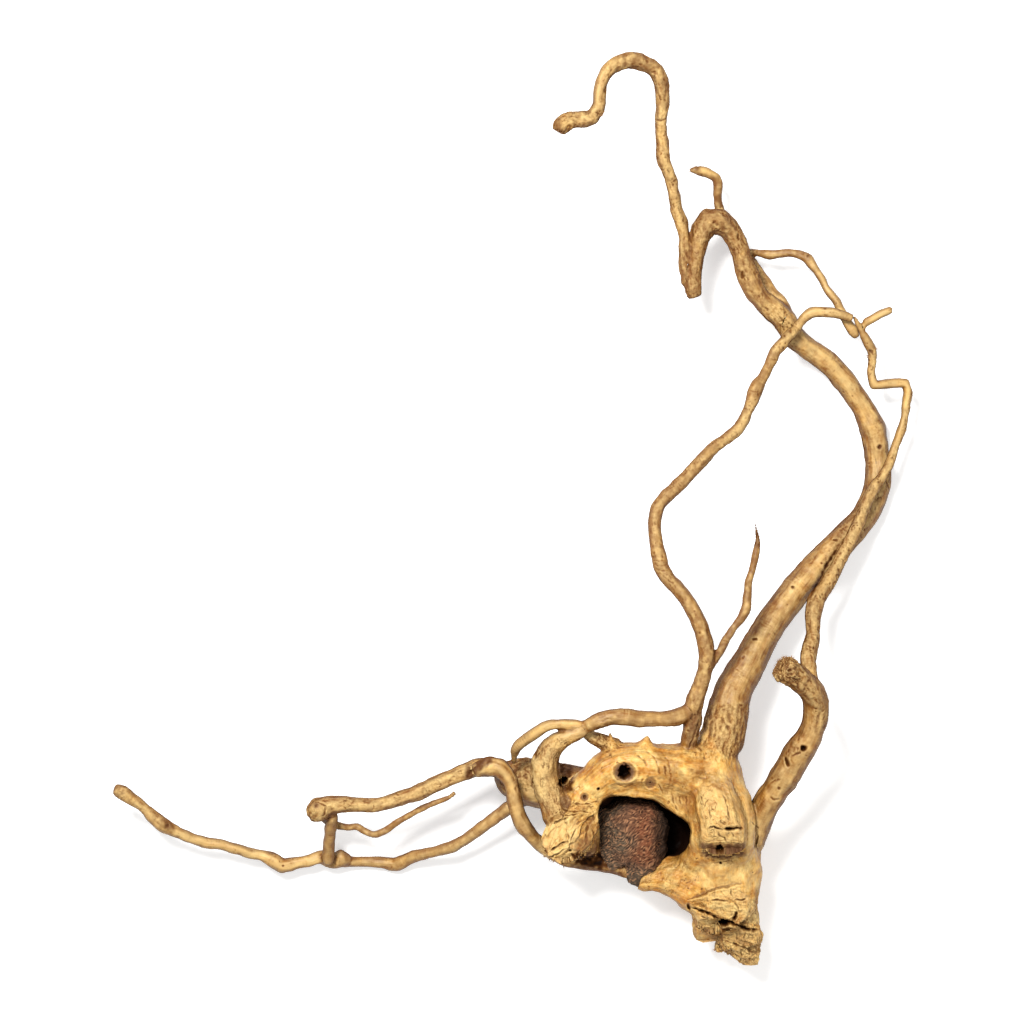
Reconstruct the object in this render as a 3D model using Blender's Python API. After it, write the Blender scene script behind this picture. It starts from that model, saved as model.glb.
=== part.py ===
"""Red moor root for a fish tank, laid flat on a table and seen from straight above.

A knotted crown with a hollow in it, and its shoulder and foot, carry a thick stem, an arm
that is broken off short, a hoop and a dozen crooked branches. Every branch follows a route
of spots read by hand off a grid laid over the root: (across, down, height above the table
in mm, half thickness). Across, down and half thickness are counted in grid squares.
"""
import math

import bmesh
import bpy
from mathutils import Vector, noise

# Grid the routes are read from
SQUARE = 0.00065
GRID_MIDDLE = 512.0
EYE_HEIGHT = 1.909
SHEET_HEIGHT = 0.060

# Middle of the root on the grid's own axes, metres: it becomes the origin
MIDDLE_ACROSS = 0.00145
MIDDLE_UP = 0.00014

# Fit between neighbouring pieces, metres
GAP = 0.0003
GAP_TO_UNEVEN = 0.0005

# Sides of the round sections, thick to thin
SIDES_THICK = 10
SIDES_MEDIUM = 8
SIDES_THIN = 6

# Crown surface, metres
CROWN_VOXEL = 0.0026
CROWN_TRIANGLES = 2110
STUMP_TRIANGLES = 280

# Natural unevenness of the branches
LUMP_DEPTH = 0.055
LUMP_LENGTH = 0.016
ROUND_END = 0.45
BROKEN_END = 0.12

# Colours, linear light
CROWN_GOLD = (0.70, 0.47, 0.19, 1.0)
STEM_TAN = (0.50, 0.31, 0.12, 1.0)
BRANCH_TAN = (0.56, 0.36, 0.14, 1.0)
TWIG_GOLD = (0.62, 0.41, 0.17, 1.0)
SHADED_BROWN = (0.40, 0.24, 0.09, 1.0)
BARK_RED = (0.17, 0.075, 0.045, 1.0)

MAIN_STEM = [
    (713, 757, 47, 23), (721, 738, 46.5, 22.5), (727, 718, 44.5, 21.3), (733, 692, 41, 18.8),
    (749.5, 662, 36, 17.2), (761, 640, 32, 15.6), (773.5, 620, 28, 15.3), (788.5, 600, 24.5, 15),
    (805, 578.5, 21, 14.8), (825, 558, 17.5, 14.4), (844, 539, 14.5, 14.4), (863, 518.5, 11.5, 13.4),
    (873, 500, 9.8, 13), (878, 480, 8.8, 13.2), (877.5, 460, 8.2, 12.3), (873, 430, 10, 12.6),
    (864, 410, 12, 11), (858, 400, 13, 10.8), (844, 380, 15.5, 11.2), (826, 361, 18.5, 11.2),
    (808, 348.5, 21, 10.5), (794, 337, 24, 11.6), (784.5, 320, 27, 12.4)]
UPPER_ARCH = [
    (790, 328, 26, 11.5), (778, 314, 28, 12), (763, 301, 29, 10.4), (754, 290, 30, 10.6),
    (749, 278, 30.5, 11), (744.5, 266, 31, 10.3), (740, 251, 32, 9.6), (735.5, 240, 33, 10),
    (729, 230, 34, 10.6), (719.5, 222, 36, 13), (709, 222, 36.5, 13.3), (701.5, 232, 37, 11.3),
    (698, 245, 37, 9.2), (695, 259, 37, 8.4), (692.5, 275, 36, 8.8), (693, 292, 35, 9.2)]
HOOK_BRANCH = [
    (687, 284, 34.5, 6), (685.5, 268, 36, 6.6), (684.5, 250, 38, 6), (684, 236, 39, 5.6),
    (680.5, 220, 40, 6.3), (676, 208, 41, 5.8), (674, 195, 43, 5.6), (671.5, 181, 44, 5.8),
    (667, 170, 46, 6.2), (663, 159, 47, 6.6), (662.5, 145, 48, 6.4), (661, 130, 50, 5.9),
    (661, 119, 51, 5.6), (662.5, 106, 52, 6.4), (662.5, 92, 53, 7.1), (660, 80, 55, 7.6),
    (654, 69, 57, 7.6), (642, 62.5, 59, 8), (630, 60, 60, 8.3), (619, 63, 61, 7.8),
    (608.5, 70, 62, 7), (602, 81, 62, 6.3), (599.5, 95, 61, 6.3), (598, 107, 59.5, 6.6),
    (591.5, 117.5, 58, 7.8), (580, 119.5, 58, 8.2), (570, 120.5, 59, 8.5), (560, 127, 60, 8.6)]
BACK_STRAND = [
    (788, 316, 24, 7), (781, 303, 20, 6.5), (772, 293.5, 17.5, 6), (765.5, 283.5, 16.5, 6),
    (758.5, 273, 16.5, 6), (750, 261, 17, 6), (740, 246, 18, 5.5), (729, 228, 20, 5),
    (720, 210, 22, 4.4), (717.5, 198, 23.5, 4.2), (718, 187, 25, 4.4), (716.5, 178.5, 26, 4.6),
    (709, 173.5, 27.5, 4.6), (700, 170.6, 29, 5), (694.5, 170.4, 30, 3.2), (690.5, 170.5, 30.5, 1.3)]
OUTER_TWIG = [
    (745, 252, 18, 3.4), (752, 252.3, 19, 3.8), (761, 253, 21, 3.5), (770, 254.6, 22.5, 4.9),
    (780, 253.6, 24, 4.1), (790, 253, 25.5, 4), (800, 255, 27, 4.6), (808, 259, 28.5, 5.2),
    (815, 269, 30, 4.2), (822, 279, 31, 3.8), (827.5, 290, 32, 3.8), (836, 300, 33, 4.2),
    (841, 311, 33, 4.2), (847, 322, 33, 4.4), (853, 331, 33, 5), (856, 335.5, 33, 3.2)]
LONG_RUNNER = [
    (686, 756, 55, 9.5), (690, 737, 60, 8.4), (692.5, 720, 63, 9.3), (694, 704, 65, 9.4),
    (699, 690, 66, 8.4), (703, 679, 67, 7.9), (706, 665, 68, 8.2), (706.5, 650, 68, 8.2),
    (701.5, 630, 68, 7.8), (695.5, 615, 68, 7.7), (687, 600.5, 67, 7.3), (678.5, 590, 66, 7.1),
    (668.5, 579, 65, 7.1), (661.5, 568, 64, 7.6), (658.5, 556, 63, 7.4), (656, 540, 62, 6.4),
    (654.5, 523, 60, 6.3), (657.5, 508, 58, 6.6), (665.5, 497, 56.5, 6.6), (681.5, 482, 55, 6.5),
    (701.5, 460.5, 53, 6.6), (716, 446, 51, 6), (735, 432, 49.5, 6.1), (743.5, 420, 48, 5.8),
    (748.5, 409, 47, 5.4), (753, 398, 46, 6.6), (756.5, 387, 45, 6.8), (764, 376, 44, 5),
    (771, 361, 42.5, 5.5), (776, 350.5, 41.5, 5.6), (785.5, 340, 40, 5.5), (795, 329.5, 38.5, 4.6),
    (802, 320.5, 38.5, 4.3), (811, 313.3, 39, 5.2), (821, 312, 39.5, 5), (832, 312.5, 40.5, 5.1),
    (842, 315, 41, 4.5), (850.5, 318, 41, 4)]
SPIKE_TWIG = [
    (709, 669, 67, 4.6), (716, 657, 66.5, 4.4), (721, 649, 66, 4), (727, 638, 65.5, 4),
    (733, 629, 65, 3.5), (741, 618.5, 64.5, 4.3), (746, 608.5, 64, 5), (747.5, 596, 63.5, 4.1),
    (748.5, 583, 63, 3.7), (752, 571, 62.5, 3.2), (755, 559, 62, 3.5), (757, 549, 61.5, 3.5),
    (757.6, 540, 61, 2.4), (756.3, 531, 60.5, 1.4), (755, 522, 60, 0.8)]
CROOKED_TWIG = [
    (813.5, 702, 64, 8), (811, 684, 59, 8), (808.5, 667, 54.5, 7.8), (808.5, 655, 51, 8.2),
    (812, 641, 47, 7.5), (813.3, 628, 43, 7.2), (813.5, 614, 39.5, 8.5), (817, 600, 36, 8.6),
    (825, 587.5, 33.5, 7.6), (833, 574, 31.5, 6.8), (840, 560, 30.5, 6.3), (846, 548, 30, 6.3),
    (854, 533, 29.5, 6.2), (861, 517, 28, 6.2), (867, 501, 26.5, 6), (874, 488, 25.5, 5.6),
    (882, 477, 24, 4.9), (888, 467, 23, 4.5), (893, 453, 21.5, 4.3), (897.5, 440, 22, 4),
    (902, 429, 22, 4.5), (904.8, 416, 22.5, 3.8), (906.5, 402, 23, 4.3), (908, 392.5, 24, 4.7),
    (905, 384, 25, 4.9), (896, 383, 26, 4.7), (884, 384.3, 27, 4.4), (874.5, 384.3, 28, 4.5),
    (871, 374, 29, 4), (872, 361, 30, 4.1), (871.5, 350, 31.5, 4.7), (867, 341, 33, 4.1),
    (862, 331, 35.5, 3.8), (857.5, 323, 37.5, 2.6), (854.5, 318, 38.5, 1.6)]
TWIG_SPUR = [
    (862, 329, 36, 3), (866, 323, 36.5, 4), (874, 318, 37.5, 4), (883, 313, 38.5, 4),
    (890, 310, 39, 3.6)]
STUB_ARM = [
    (752, 848, 42, 10), (755, 831, 46, 13.3), (761, 815, 50, 13.6), (768, 801, 53, 13.8),
    (776, 789, 56, 13.4), (783, 779, 58.5, 14.4), (790, 768, 61, 14.6), (796, 757, 63, 14.8),
    (801, 748, 65, 14.4), (808, 738, 67, 12.8), (812.5, 728, 69, 12.2), (815.5, 716, 71, 12.7),
    (816, 703, 74, 12.9), (812.5, 692, 78, 13), (804.5, 683, 82, 12.4), (795, 676, 86, 12.4),
    (783.5, 667.5, 91, 13)]
HOOP = [
    (698, 703, 64, 6.5), (690, 711, 65, 8.4), (680, 716, 66.5, 8.6), (668, 718.5, 68, 8),
    (655, 719, 69.5, 7.7), (640, 719, 71, 8), (625, 717, 72, 8.3), (610, 717.5, 72, 8.1),
    (598, 721, 71.5, 7.8), (588, 726, 70.5, 8)]
HOOP_TIP = [
    (589, 726, 70, 5.4), (575, 724.5, 70.5, 5.4), (562, 724.3, 70, 5.3), (550, 725, 69, 5.2),
    (540, 730, 67, 5.8), (530, 736.5, 64, 5.6), (521, 743, 60.5, 5.4), (515.5, 750, 56.5, 4.6),
    (514, 757, 53, 3), (514, 762, 50.5, 1.8)]
LEFT_ARM = [
    (568, 832, 58, 17), (562, 820, 58.5, 18), (556, 806, 59, 16), (549, 790, 60, 14.5),
    (545, 775, 61, 14), (545, 762, 63, 13.4), (550, 750, 65, 11.5), (560, 740, 67, 9.6),
    (573, 734, 69, 8), (584, 729.5, 70, 7.2)]
LEFT_ROOT = [
    (606, 788, 42, 18), (580, 788, 36, 21), (556, 786, 31, 23.5), (533, 783, 28, 24.5),
    (517, 779, 27.5, 22), (506, 775, 29, 16), (500, 773, 31, 10)]
UPPER_LEFT_BRANCH = [
    (509, 772, 32, 9.5), (492, 768, 35, 9.6), (478, 767.5, 37, 9), (465, 772, 39, 8.5),
    (450, 778, 40, 8), (435, 784.5, 41, 8), (420, 791.5, 41.5, 8), (400, 798.5, 42, 7.4),
    (380, 804.5, 42, 6.9), (360, 805, 41, 7), (345, 804.5, 40.5, 7.8), (331, 805.5, 40, 9.6),
    (319, 810, 40, 11.5), (311.5, 814, 39.5, 8)]
LOOP_BRANCH = [
    (477, 770, 50.5, 7.2), (488, 766.5, 51.5, 9.3), (499, 767.5, 52.5, 9.4), (508, 777, 53, 8.2),
    (512.5, 789, 53, 7.2), (514.5, 801, 53, 7.7), (518, 814, 53, 7.6), (524, 826, 51, 7.8),
    (534, 838, 46, 7), (547, 849.5, 40, 7), (562, 857, 36, 7.5), (580, 861, 35, 8),
    (600, 863, 35, 8.6), (616, 866.5, 36, 8), (628, 873, 37, 6.5)]
LOW_BRANCH = [
    (526, 797, 29, 9), (508, 808, 29, 6.8), (495, 817.5, 27.5, 6.2), (480, 828.5, 25, 6),
    (465, 839.5, 22, 5.8), (450, 847.5, 19, 5.8), (435, 851.5, 16, 5.2), (420, 855, 12, 5.5),
    (408, 859, 8, 6.2), (396, 864.5, 4.6, 6.7), (385, 863, 4.2, 5.8), (370, 862, 4.4, 5),
    (350, 862.5, 6.5, 5.3), (335, 862, 9, 6.2), (321, 857, 11, 6.6), (308, 861, 12, 6.2),
    (297, 862.5, 12, 5.8), (283, 865.5, 12, 7.5), (272, 859.5, 13, 7.4), (262, 855.5, 14, 5.4),
    (250, 853, 15, 5.1), (235, 848.5, 17, 5.2), (220, 844.5, 18, 5.2), (205, 842.5, 19, 5.4),
    (190, 837.5, 21, 5.2), (175, 831, 23, 5.7), (164, 825.5, 25, 7.2), (153, 816.5, 27, 6.6),
    (143, 807, 30, 5.2), (133, 800, 32, 6), (123, 793, 34, 7.2), (116, 789, 36, 5)]
CROSS_LINK = [
    (331.5, 807, 39, 6.6), (331.3, 818, 35, 6.3), (330.5, 829, 30, 6), (329, 841, 24.5, 5.7),
    (328.3, 851, 20, 6), (328.5, 860, 16, 6)]
THIN_BACK_TWIG = [
    (320, 815, 33, 3.4), (328, 822, 24, 3.4), (337, 825.5, 23.5, 3.5), (347, 827.3, 25, 3.2),
    (357, 827, 26.5, 3.3), (365, 831.5, 27.5, 3.2), (373, 834.5, 28.5, 3.4), (382, 832, 30, 3.4),
    (392, 826, 31, 3.2), (402, 819.5, 32, 3.2), (415, 812, 33, 2.9), (428, 805.5, 34, 2.9),
    (440, 801, 35, 2.5), (449, 797.3, 36, 2.1), (454, 793.5, 36.5, 1.6)]
BRIDGE_STUB = [
    (624, 754, 52, 9), (612, 746, 56, 8.5), (601, 741, 59, 7.4), (591, 736.5, 60.5, 6),
    (586, 734, 61, 4.4)]

# Limbs that grow together into the crown
RIGHT_MASS = [
    (706, 750, 46, 26), (710, 766, 46, 28.5), (713, 785, 46, 31), (715, 805, 44, 32),
    (719, 830, 40, 36), (722, 855, 36, 38.5), (723, 880, 35, 37), (723, 902, 36, 33)]
BACK_MASS = [(700, 772, 24, 29), (712, 800, 20.5, 34), (714, 840, 20, 34.5), (712, 870, 21, 30)]
HOLLOW_BACK = [
    (608, 804, 27, 25), (632, 823, 20, 34), (648, 841, 19, 36), (662, 857, 21, 31),
    (678, 872, 25, 25)]
HOLLOW_ROOF_BACK = [(622, 800, 25, 24), (655, 802, 23, 28), (690, 808, 22, 30)]
UNDER_BAND = [(614, 781, 34, 17), (640, 779, 32, 22), (668, 782, 30, 24), (696, 786, 29, 26)]
HOOD = [(598, 795, 55, 14), (620, 786, 55, 14), (648, 786, 54, 15), (668, 792, 52, 20),
        (684, 804, 48, 22)]
UPPER_BAND = [
    (572, 812, 54, 19), (579, 797, 55, 18), (594, 783, 56, 18.5), (614, 769, 57, 22),
    (637, 765, 57, 22.5), (661, 768, 55, 24), (688, 772, 51, 30)]
LEFT_LOBE = [(592, 798, 56, 16), (584, 813, 58, 20.5), (573, 829, 60, 23.5),
             (562, 844, 61, 24), (554, 854, 61, 17)]
BOTTOM_BAND = [
    (702, 890, 38, 26), (685, 880, 39, 23), (668, 878, 39, 17.5), (652, 878.5, 39, 12.5),
    (638, 879.5, 39, 10), (630, 880, 39, 8)]
FRONT_STUB = [(712, 786, 58, 21), (716, 803, 65, 24.5), (719, 818, 69, 25.5),
              (720, 829, 71, 24.5), (720, 836, 70, 21)]
FOOT = [
    (723, 898, 37, 34), (727, 913, 37, 34.5), (735, 925, 37, 27), (742, 936, 37, 22),
    (741, 949, 37, 22), (744, 960, 37, 17)]
FOOT_LEFT = [(709, 908, 37, 19), (708, 922, 37, 16.5), (707, 935, 37, 14.5)]

# Opening of the hollow in the crown: outline (across, down), floor and mouth in mm
HOLLOW_RIM = [
    (599, 806), (604, 799), (611, 795), (626, 796), (641, 797), (653, 800), (662, 806),
    (673, 812), (682, 817), (689, 823), (691, 831), (690, 841), (686, 851), (677, 854),
    (667, 855), (661, 860), (654, 867), (647, 872), (640, 877), (632, 881), (623, 882),
    (614, 878), (602, 872), (590, 862), (587, 852), (597, 846), (599, 832), (597, 818)]
HOLLOW_FLOOR = 13
HOLLOW_MOUTH = 110

# Reddish stump left inside the hollow
INNER_STUMP = [(636, 812, 32, 29), (634, 826, 35, 36), (635, 842, 35, 33), (634, 858, 35, 22),
               (632, 874, 36, 11)]

# Pits of rotted knots in the crown: across, down, height of the bottom in mm, half width
KNOT_PITS = [(625, 771, 65, 5), (651, 783, 67, 3.2), (585, 797, 62, 3.2), (567, 801, 60, 3.6),
             (720, 847, 60, 4), (723, 919, 52, 5)]

# Cracks across the crown: two ends (across, down), height of the bottom in mm, half width
CRACKS = [
    ((712, 828), (742, 829), 74, 1.3), ((690, 907), (720, 921), 51, 1.9),
    ((718, 921), (760, 930), 48, 2.2), ((722, 940), (748, 951), 47, 1.4),
    ((692, 901), (733, 886), 55, 1.3)]

# Where the crown forks into the shoulder, on its right, and the foot, in front: metres
SHOULDER_SIDE = 0.1035
FOOT_FRONT = -0.2475

# Swellings: across, down, height in mm, reach in squares, rise in squares
STEM_KNOB = (893, 480, 10, 8, 6)
CURL_LIP = (314, 821, 42, 7, 5)
LOW_NUB = (339, 855, 12, 5, 5)
TWIG_KNOT = (799, 658, 52, 6, 5)
TWIG_BURR = (785, 348, 41, 4, 3)


def place(across, down, height):
    """Turns a spot on the grid and a height in mm into metres."""
    lift = height / 1000.0
    shrink = (EYE_HEIGHT - lift) / (EYE_HEIGHT - SHEET_HEIGHT)
    return Vector(((across - GRID_MIDDLE) * SQUARE * shrink - MIDDLE_ACROSS,
                   (GRID_MIDDLE - down) * SQUARE * shrink - MIDDLE_UP, lift))


def length_of(squares, height):
    """Turns a length in grid squares, read at a height in mm, into metres."""
    return squares * SQUARE * (EYE_HEIGHT - height / 1000.0) / (EYE_HEIGHT - SHEET_HEIGHT)


def clear_scene():
    for thing in list(bpy.data.objects):
        bpy.data.objects.remove(thing, do_unlink=True)


def make_wood(name, colour, roughness):
    wood = bpy.data.materials.new(name)
    wood.use_nodes = True
    shader = wood.node_tree.nodes["Principled BSDF"]
    shader.inputs["Base Color"].default_value = colour
    shader.inputs["Roughness"].default_value = roughness
    shader.inputs["Metallic"].default_value = 0.0
    wood.diffuse_color = colour
    return wood


def new_object(name, shape):
    mesh = bpy.data.meshes.new(name)
    shape.to_mesh(mesh)
    shape.free()
    thing = bpy.data.objects.new(name, mesh)
    bpy.context.collection.objects.link(thing)
    return thing


def directions(points):
    """Unit directions of the route at each of its points."""
    found = []
    for number in range(len(points)):
        before = points[max(number - 1, 0)]
        after = points[min(number + 1, len(points) - 1)]
        found.append((after - before).normalized())
    return found


def add_ring(shape, centre, across, upward, radius, sides, seed):
    """One uneven round of vertices around the branch."""
    ring = []
    for side in range(sides):
        angle = 2.0 * math.pi * side / sides
        outward = across * math.cos(angle) + upward * math.sin(angle)
        spot = centre + outward * radius
        lump = noise.noise(spot / LUMP_LENGTH + Vector((seed, 0.0, 0.0)))
        ring.append(shape.verts.new(spot + outward * radius * LUMP_DEPTH * lump))
    return ring


def close_end(shape, ring, tip, outward_first):
    """Closes an end with a low cone, its faces turned outward."""
    top = shape.verts.new(tip)
    for number, corner in enumerate(ring):
        neighbour = ring[(number + 1) % len(ring)]
        if outward_first:
            shape.faces.new((neighbour, corner, top))
        else:
            shape.faces.new((corner, neighbour, top))


def branch_shape(route, sides, swell=0.0, dome=ROUND_END):
    """Round branch along a route, its ends domed by a share of their half thickness."""
    points = [place(*spot[:3]) for spot in route]
    corner_fit = 0.5 + 0.5 / math.cos(math.pi / sides)
    radii = [length_of(spot[3], spot[2]) * corner_fit + swell / math.cos(math.pi / sides)
             for spot in route]
    aims = directions(points)
    shape = bmesh.new()
    upward = Vector((0.0, 0.0, 1.0))
    upward = (upward - aims[0] * upward.dot(aims[0])).normalized()
    rings = []
    for centre, aim, radius in zip(points, aims, radii):
        upward = (upward - aim * upward.dot(aim)).normalized()
        across = aim.cross(upward)
        rings.append(add_ring(shape, centre, across, upward, radius, sides, len(route)))
    for first, second in zip(rings, rings[1:]):
        for number in range(sides):
            following = (number + 1) % sides
            shape.faces.new((first[number], first[following], second[following],
                             second[number]))
    start_tip = points[0] - aims[0] * (radii[0] * ROUND_END)
    end_tip = points[-1] + aims[-1] * (radii[-1] * dome)
    close_end(shape, rings[0], start_tip, True)
    close_end(shape, rings[-1], end_tip, False)
    bmesh.ops.recalc_face_normals(shape, faces=shape.faces)
    return shape


def swell_at(shape, spot):
    """Raises a smooth swelling on the surface near a spot."""
    across, down, height, reach, rise = spot
    centre = place(across, down, height)
    wide = length_of(reach, height)
    high = length_of(rise, height)
    shape.normal_update()
    moves = []
    for corner in shape.verts:
        nearness = math.exp(-((corner.co - centre).length / wide) ** 2)
        moves.append((corner, corner.normal * high * nearness))
    for corner, move in moves:
        corner.co += move


def make_branch(name, route, sides, colour, swellings=(), dome=ROUND_END):
    shape = branch_shape(route, sides, dome=dome)
    for spot in swellings:
        swell_at(shape, spot)
    branch = new_object(name, shape)
    branch.data.materials.append(make_wood(name + "_wood", colour, 0.62))
    return branch


def apply_modifiers(thing):
    bpy.context.view_layer.update()
    seen = thing.evaluated_get(bpy.context.evaluated_depsgraph_get())
    mesh = bpy.data.meshes.new_from_object(seen)
    old = thing.data
    thing.modifiers.clear()
    thing.data = mesh
    bpy.data.meshes.remove(old)


def combine(thing, other, operation):
    change = thing.modifiers.new(operation, 'BOOLEAN')
    change.operation = operation
    change.solver = 'EXACT'
    change.object = other
    apply_modifiers(thing)


def cut_by_swollen_route(branch, route, sides):
    """Cuts a branch where it meets its parent branch, leaving the gap between them."""
    cutter = new_object("cutter", branch_shape(route, sides, GAP))
    combine(branch, cutter, 'DIFFERENCE')
    bpy.data.objects.remove(cutter, do_unlink=True)


def swollen_copy(thing, rise):
    copy = thing.copy()
    copy.data = thing.data.copy()
    bpy.context.collection.objects.link(copy)
    push = copy.modifiers.new("rise", 'DISPLACE')
    push.direction = 'NORMAL'
    push.mid_level = 0.0
    push.strength = rise
    apply_modifiers(copy)
    return copy


def hollow_cutter():
    shape = bmesh.new()
    rim = [shape.verts.new(place(across, down, HOLLOW_FLOOR)) for across, down in HOLLOW_RIM]
    floor = shape.faces.new(rim)
    raised = bmesh.ops.extrude_face_region(shape, geom=[floor])
    rise = Vector((0.0, 0.0, (HOLLOW_MOUTH - HOLLOW_FLOOR) / 1000.0))
    corners = [piece for piece in raised["geom"] if isinstance(piece, bmesh.types.BMVert)]
    bmesh.ops.translate(shape, verts=corners, vec=rise)
    bmesh.ops.recalc_face_normals(shape, faces=shape.faces)
    return new_object("hollow_cutter", shape)


def pit_cutter(across, down, bottom, half_width):
    """Blunt cone that leaves the pit of a rotted knot."""
    top = 125
    shape = bmesh.new()
    wide = length_of(half_width, bottom)
    high = (top - bottom) / 1000.0
    bmesh.ops.create_cone(shape, cap_ends=True, segments=9, radius1=wide * 0.55,
                          radius2=wide * 0.55 + high * 0.12, depth=high)
    middle = place(across, down, bottom) + Vector((0.0, 0.0, high / 2.0))
    bmesh.ops.translate(shape, verts=shape.verts, vec=middle)
    return new_object("pit_cutter", shape)


def crack_cutter(first, second, bottom, half_width):
    """Wedge that opens upward from the bottom of a crack."""
    top = 125
    low_a, low_b = place(*first, bottom), place(*second, bottom)
    sideways = (low_b - low_a).cross(Vector((0.0, 0.0, 1.0))).normalized()
    rise = Vector((0.0, 0.0, (top - bottom) / 1000.0))
    narrow = sideways * length_of(half_width, bottom) * 0.35
    open_wide = sideways * (length_of(half_width, bottom) * 0.35 + rise.z * 0.075)
    shape = bmesh.new()
    lower = [low_a - narrow, low_b - narrow, low_b + narrow, low_a + narrow]
    upper = [low_a - open_wide + rise, low_b - open_wide + rise, low_b + open_wide + rise,
             low_a + open_wide + rise]
    low = [shape.verts.new(spot) for spot in lower]
    high = [shape.verts.new(spot) for spot in upper]
    shape.faces.new(low)
    shape.faces.new(high)
    for number in range(4):
        following = (number + 1) % 4
        shape.faces.new((low[number], low[following], high[following], high[number]))
    bmesh.ops.recalc_face_normals(shape, faces=shape.faces)
    return new_object("crack_cutter", shape)


def table_cutter():
    """Everything below the table top."""
    shape = bmesh.new()
    bmesh.ops.create_cube(shape, size=1.0)
    bmesh.ops.translate(shape, verts=shape.verts, vec=Vector((0.0, 0.0, -0.5)))
    return new_object("table_cutter", shape)


def cut_and_discard(thing, cutter):
    combine(thing, cutter, 'DIFFERENCE')
    bpy.data.objects.remove(cutter, do_unlink=True)


def grow_together(thing, voxel):
    skin = thing.modifiers.new("skin", 'REMESH')
    skin.mode = 'VOXEL'
    skin.voxel_size = voxel
    soften = thing.modifiers.new("soften", 'SMOOTH')
    soften.factor = 0.5
    soften.iterations = 2
    apply_modifiers(thing)


def reduce_to(thing, triangles):
    thing.data.calc_loop_triangles()
    fewer = thing.modifiers.new("fewer", 'DECIMATE')
    fewer.ratio = triangles / len(thing.data.loop_triangles)
    apply_modifiers(thing)


def make_crown():
    shape = bmesh.new()
    limbs = [RIGHT_MASS, BACK_MASS, HOLLOW_BACK, HOLLOW_ROOF_BACK, UNDER_BAND, HOOD, UPPER_BAND,
             LEFT_LOBE, BOTTOM_BAND, FRONT_STUB, FOOT, FOOT_LEFT]
    for limb in limbs:
        part = branch_shape(limb, SIDES_THICK * 2)
        mesh = bpy.data.meshes.new("limb")
        part.to_mesh(mesh)
        part.free()
        shape.from_mesh(mesh)
        bpy.data.meshes.remove(mesh)
    crown = new_object("crown", shape)
    grow_together(crown, CROWN_VOXEL)
    cut_and_discard(crown, hollow_cutter())
    grow_together(crown, CROWN_VOXEL)
    reduce_to(crown, CROWN_TRIANGLES)
    for pit in KNOT_PITS:
        cut_and_discard(crown, pit_cutter(*pit))
    for crack in CRACKS:
        cut_and_discard(crown, crack_cutter(*crack))
    cut_and_discard(crown, table_cutter())
    crown.data.materials.clear()
    crown.data.materials.append(make_wood("crown_wood", CROWN_GOLD, 0.60))
    return crown


def make_inner_stump(crown):
    stump = new_object("inner_stump", branch_shape(INNER_STUMP, SIDES_THICK * 2))
    grow_together(stump, CROWN_VOXEL)
    reduce_to(stump, STUMP_TRIANGLES)
    cut_and_discard(stump, swollen_copy(crown, GAP_TO_UNEVEN))
    stump.data.materials.clear()
    stump.data.materials.append(make_wood("inner_stump_bark", BARK_RED, 0.85))
    return stump


def make_main_stem():
    return make_branch("main_stem", MAIN_STEM, SIDES_THICK, STEM_TAN, [STEM_KNOB])


def make_upper_arch():
    arch = make_branch("upper_arch", UPPER_ARCH, SIDES_THICK, STEM_TAN, dome=BROKEN_END)
    cut_by_swollen_route(arch, MAIN_STEM, SIDES_THICK)
    return arch


def make_hook_branch():
    hook = make_branch("hook_branch", HOOK_BRANCH, SIDES_MEDIUM, BRANCH_TAN, dome=BROKEN_END)
    cut_by_swollen_route(hook, UPPER_ARCH, SIDES_THICK)
    return hook


def make_back_strand():
    strand = make_branch("back_strand", BACK_STRAND, SIDES_THIN, SHADED_BROWN)
    cut_by_swollen_route(strand, MAIN_STEM, SIDES_THICK)
    cut_by_swollen_route(strand, UPPER_ARCH, SIDES_THICK)
    return strand


def make_outer_twig():
    twig = make_branch("outer_twig", OUTER_TWIG, SIDES_THIN, TWIG_GOLD)
    cut_by_swollen_route(twig, BACK_STRAND, SIDES_THIN)
    cut_by_swollen_route(twig, UPPER_ARCH, SIDES_THICK)
    return twig


def make_long_runner():
    return make_branch("long_runner", LONG_RUNNER, SIDES_MEDIUM, BRANCH_TAN, [TWIG_BURR])


def make_spike_twig():
    twig = make_branch("spike_twig", SPIKE_TWIG, SIDES_THIN, BRANCH_TAN)
    cut_by_swollen_route(twig, LONG_RUNNER, SIDES_MEDIUM)
    return twig


def make_crooked_twig():
    twig = make_branch("crooked_twig", CROOKED_TWIG, SIDES_THIN, TWIG_GOLD, [TWIG_KNOT])
    cut_by_swollen_route(twig, STUB_ARM, SIDES_THICK)
    return twig


def make_twig_spur():
    spur = make_branch("twig_spur", TWIG_SPUR, SIDES_THIN, TWIG_GOLD)
    cut_by_swollen_route(spur, CROOKED_TWIG, SIDES_THIN)
    return spur


def make_stub_arm():
    return make_branch("stub_arm", STUB_ARM, SIDES_THICK, STEM_TAN, dome=BROKEN_END)


def make_hoop():
    hoop = make_branch("hoop", HOOP, SIDES_MEDIUM, BRANCH_TAN)
    cut_by_swollen_route(hoop, LONG_RUNNER, SIDES_MEDIUM)
    return hoop


def make_hoop_tip():
    tip = make_branch("hoop_tip", HOOP_TIP, SIDES_THIN, TWIG_GOLD)
    cut_by_swollen_route(tip, HOOP, SIDES_MEDIUM)
    cut_by_swollen_route(tip, LEFT_ARM, SIDES_THICK)
    return tip


def make_left_arm():
    arm = make_branch("left_arm", LEFT_ARM, SIDES_THICK, BRANCH_TAN)
    cut_by_swollen_route(arm, HOOP, SIDES_MEDIUM)
    return arm


def make_left_root():
    return make_branch("left_root", LEFT_ROOT, SIDES_THICK, SHADED_BROWN)


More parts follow.
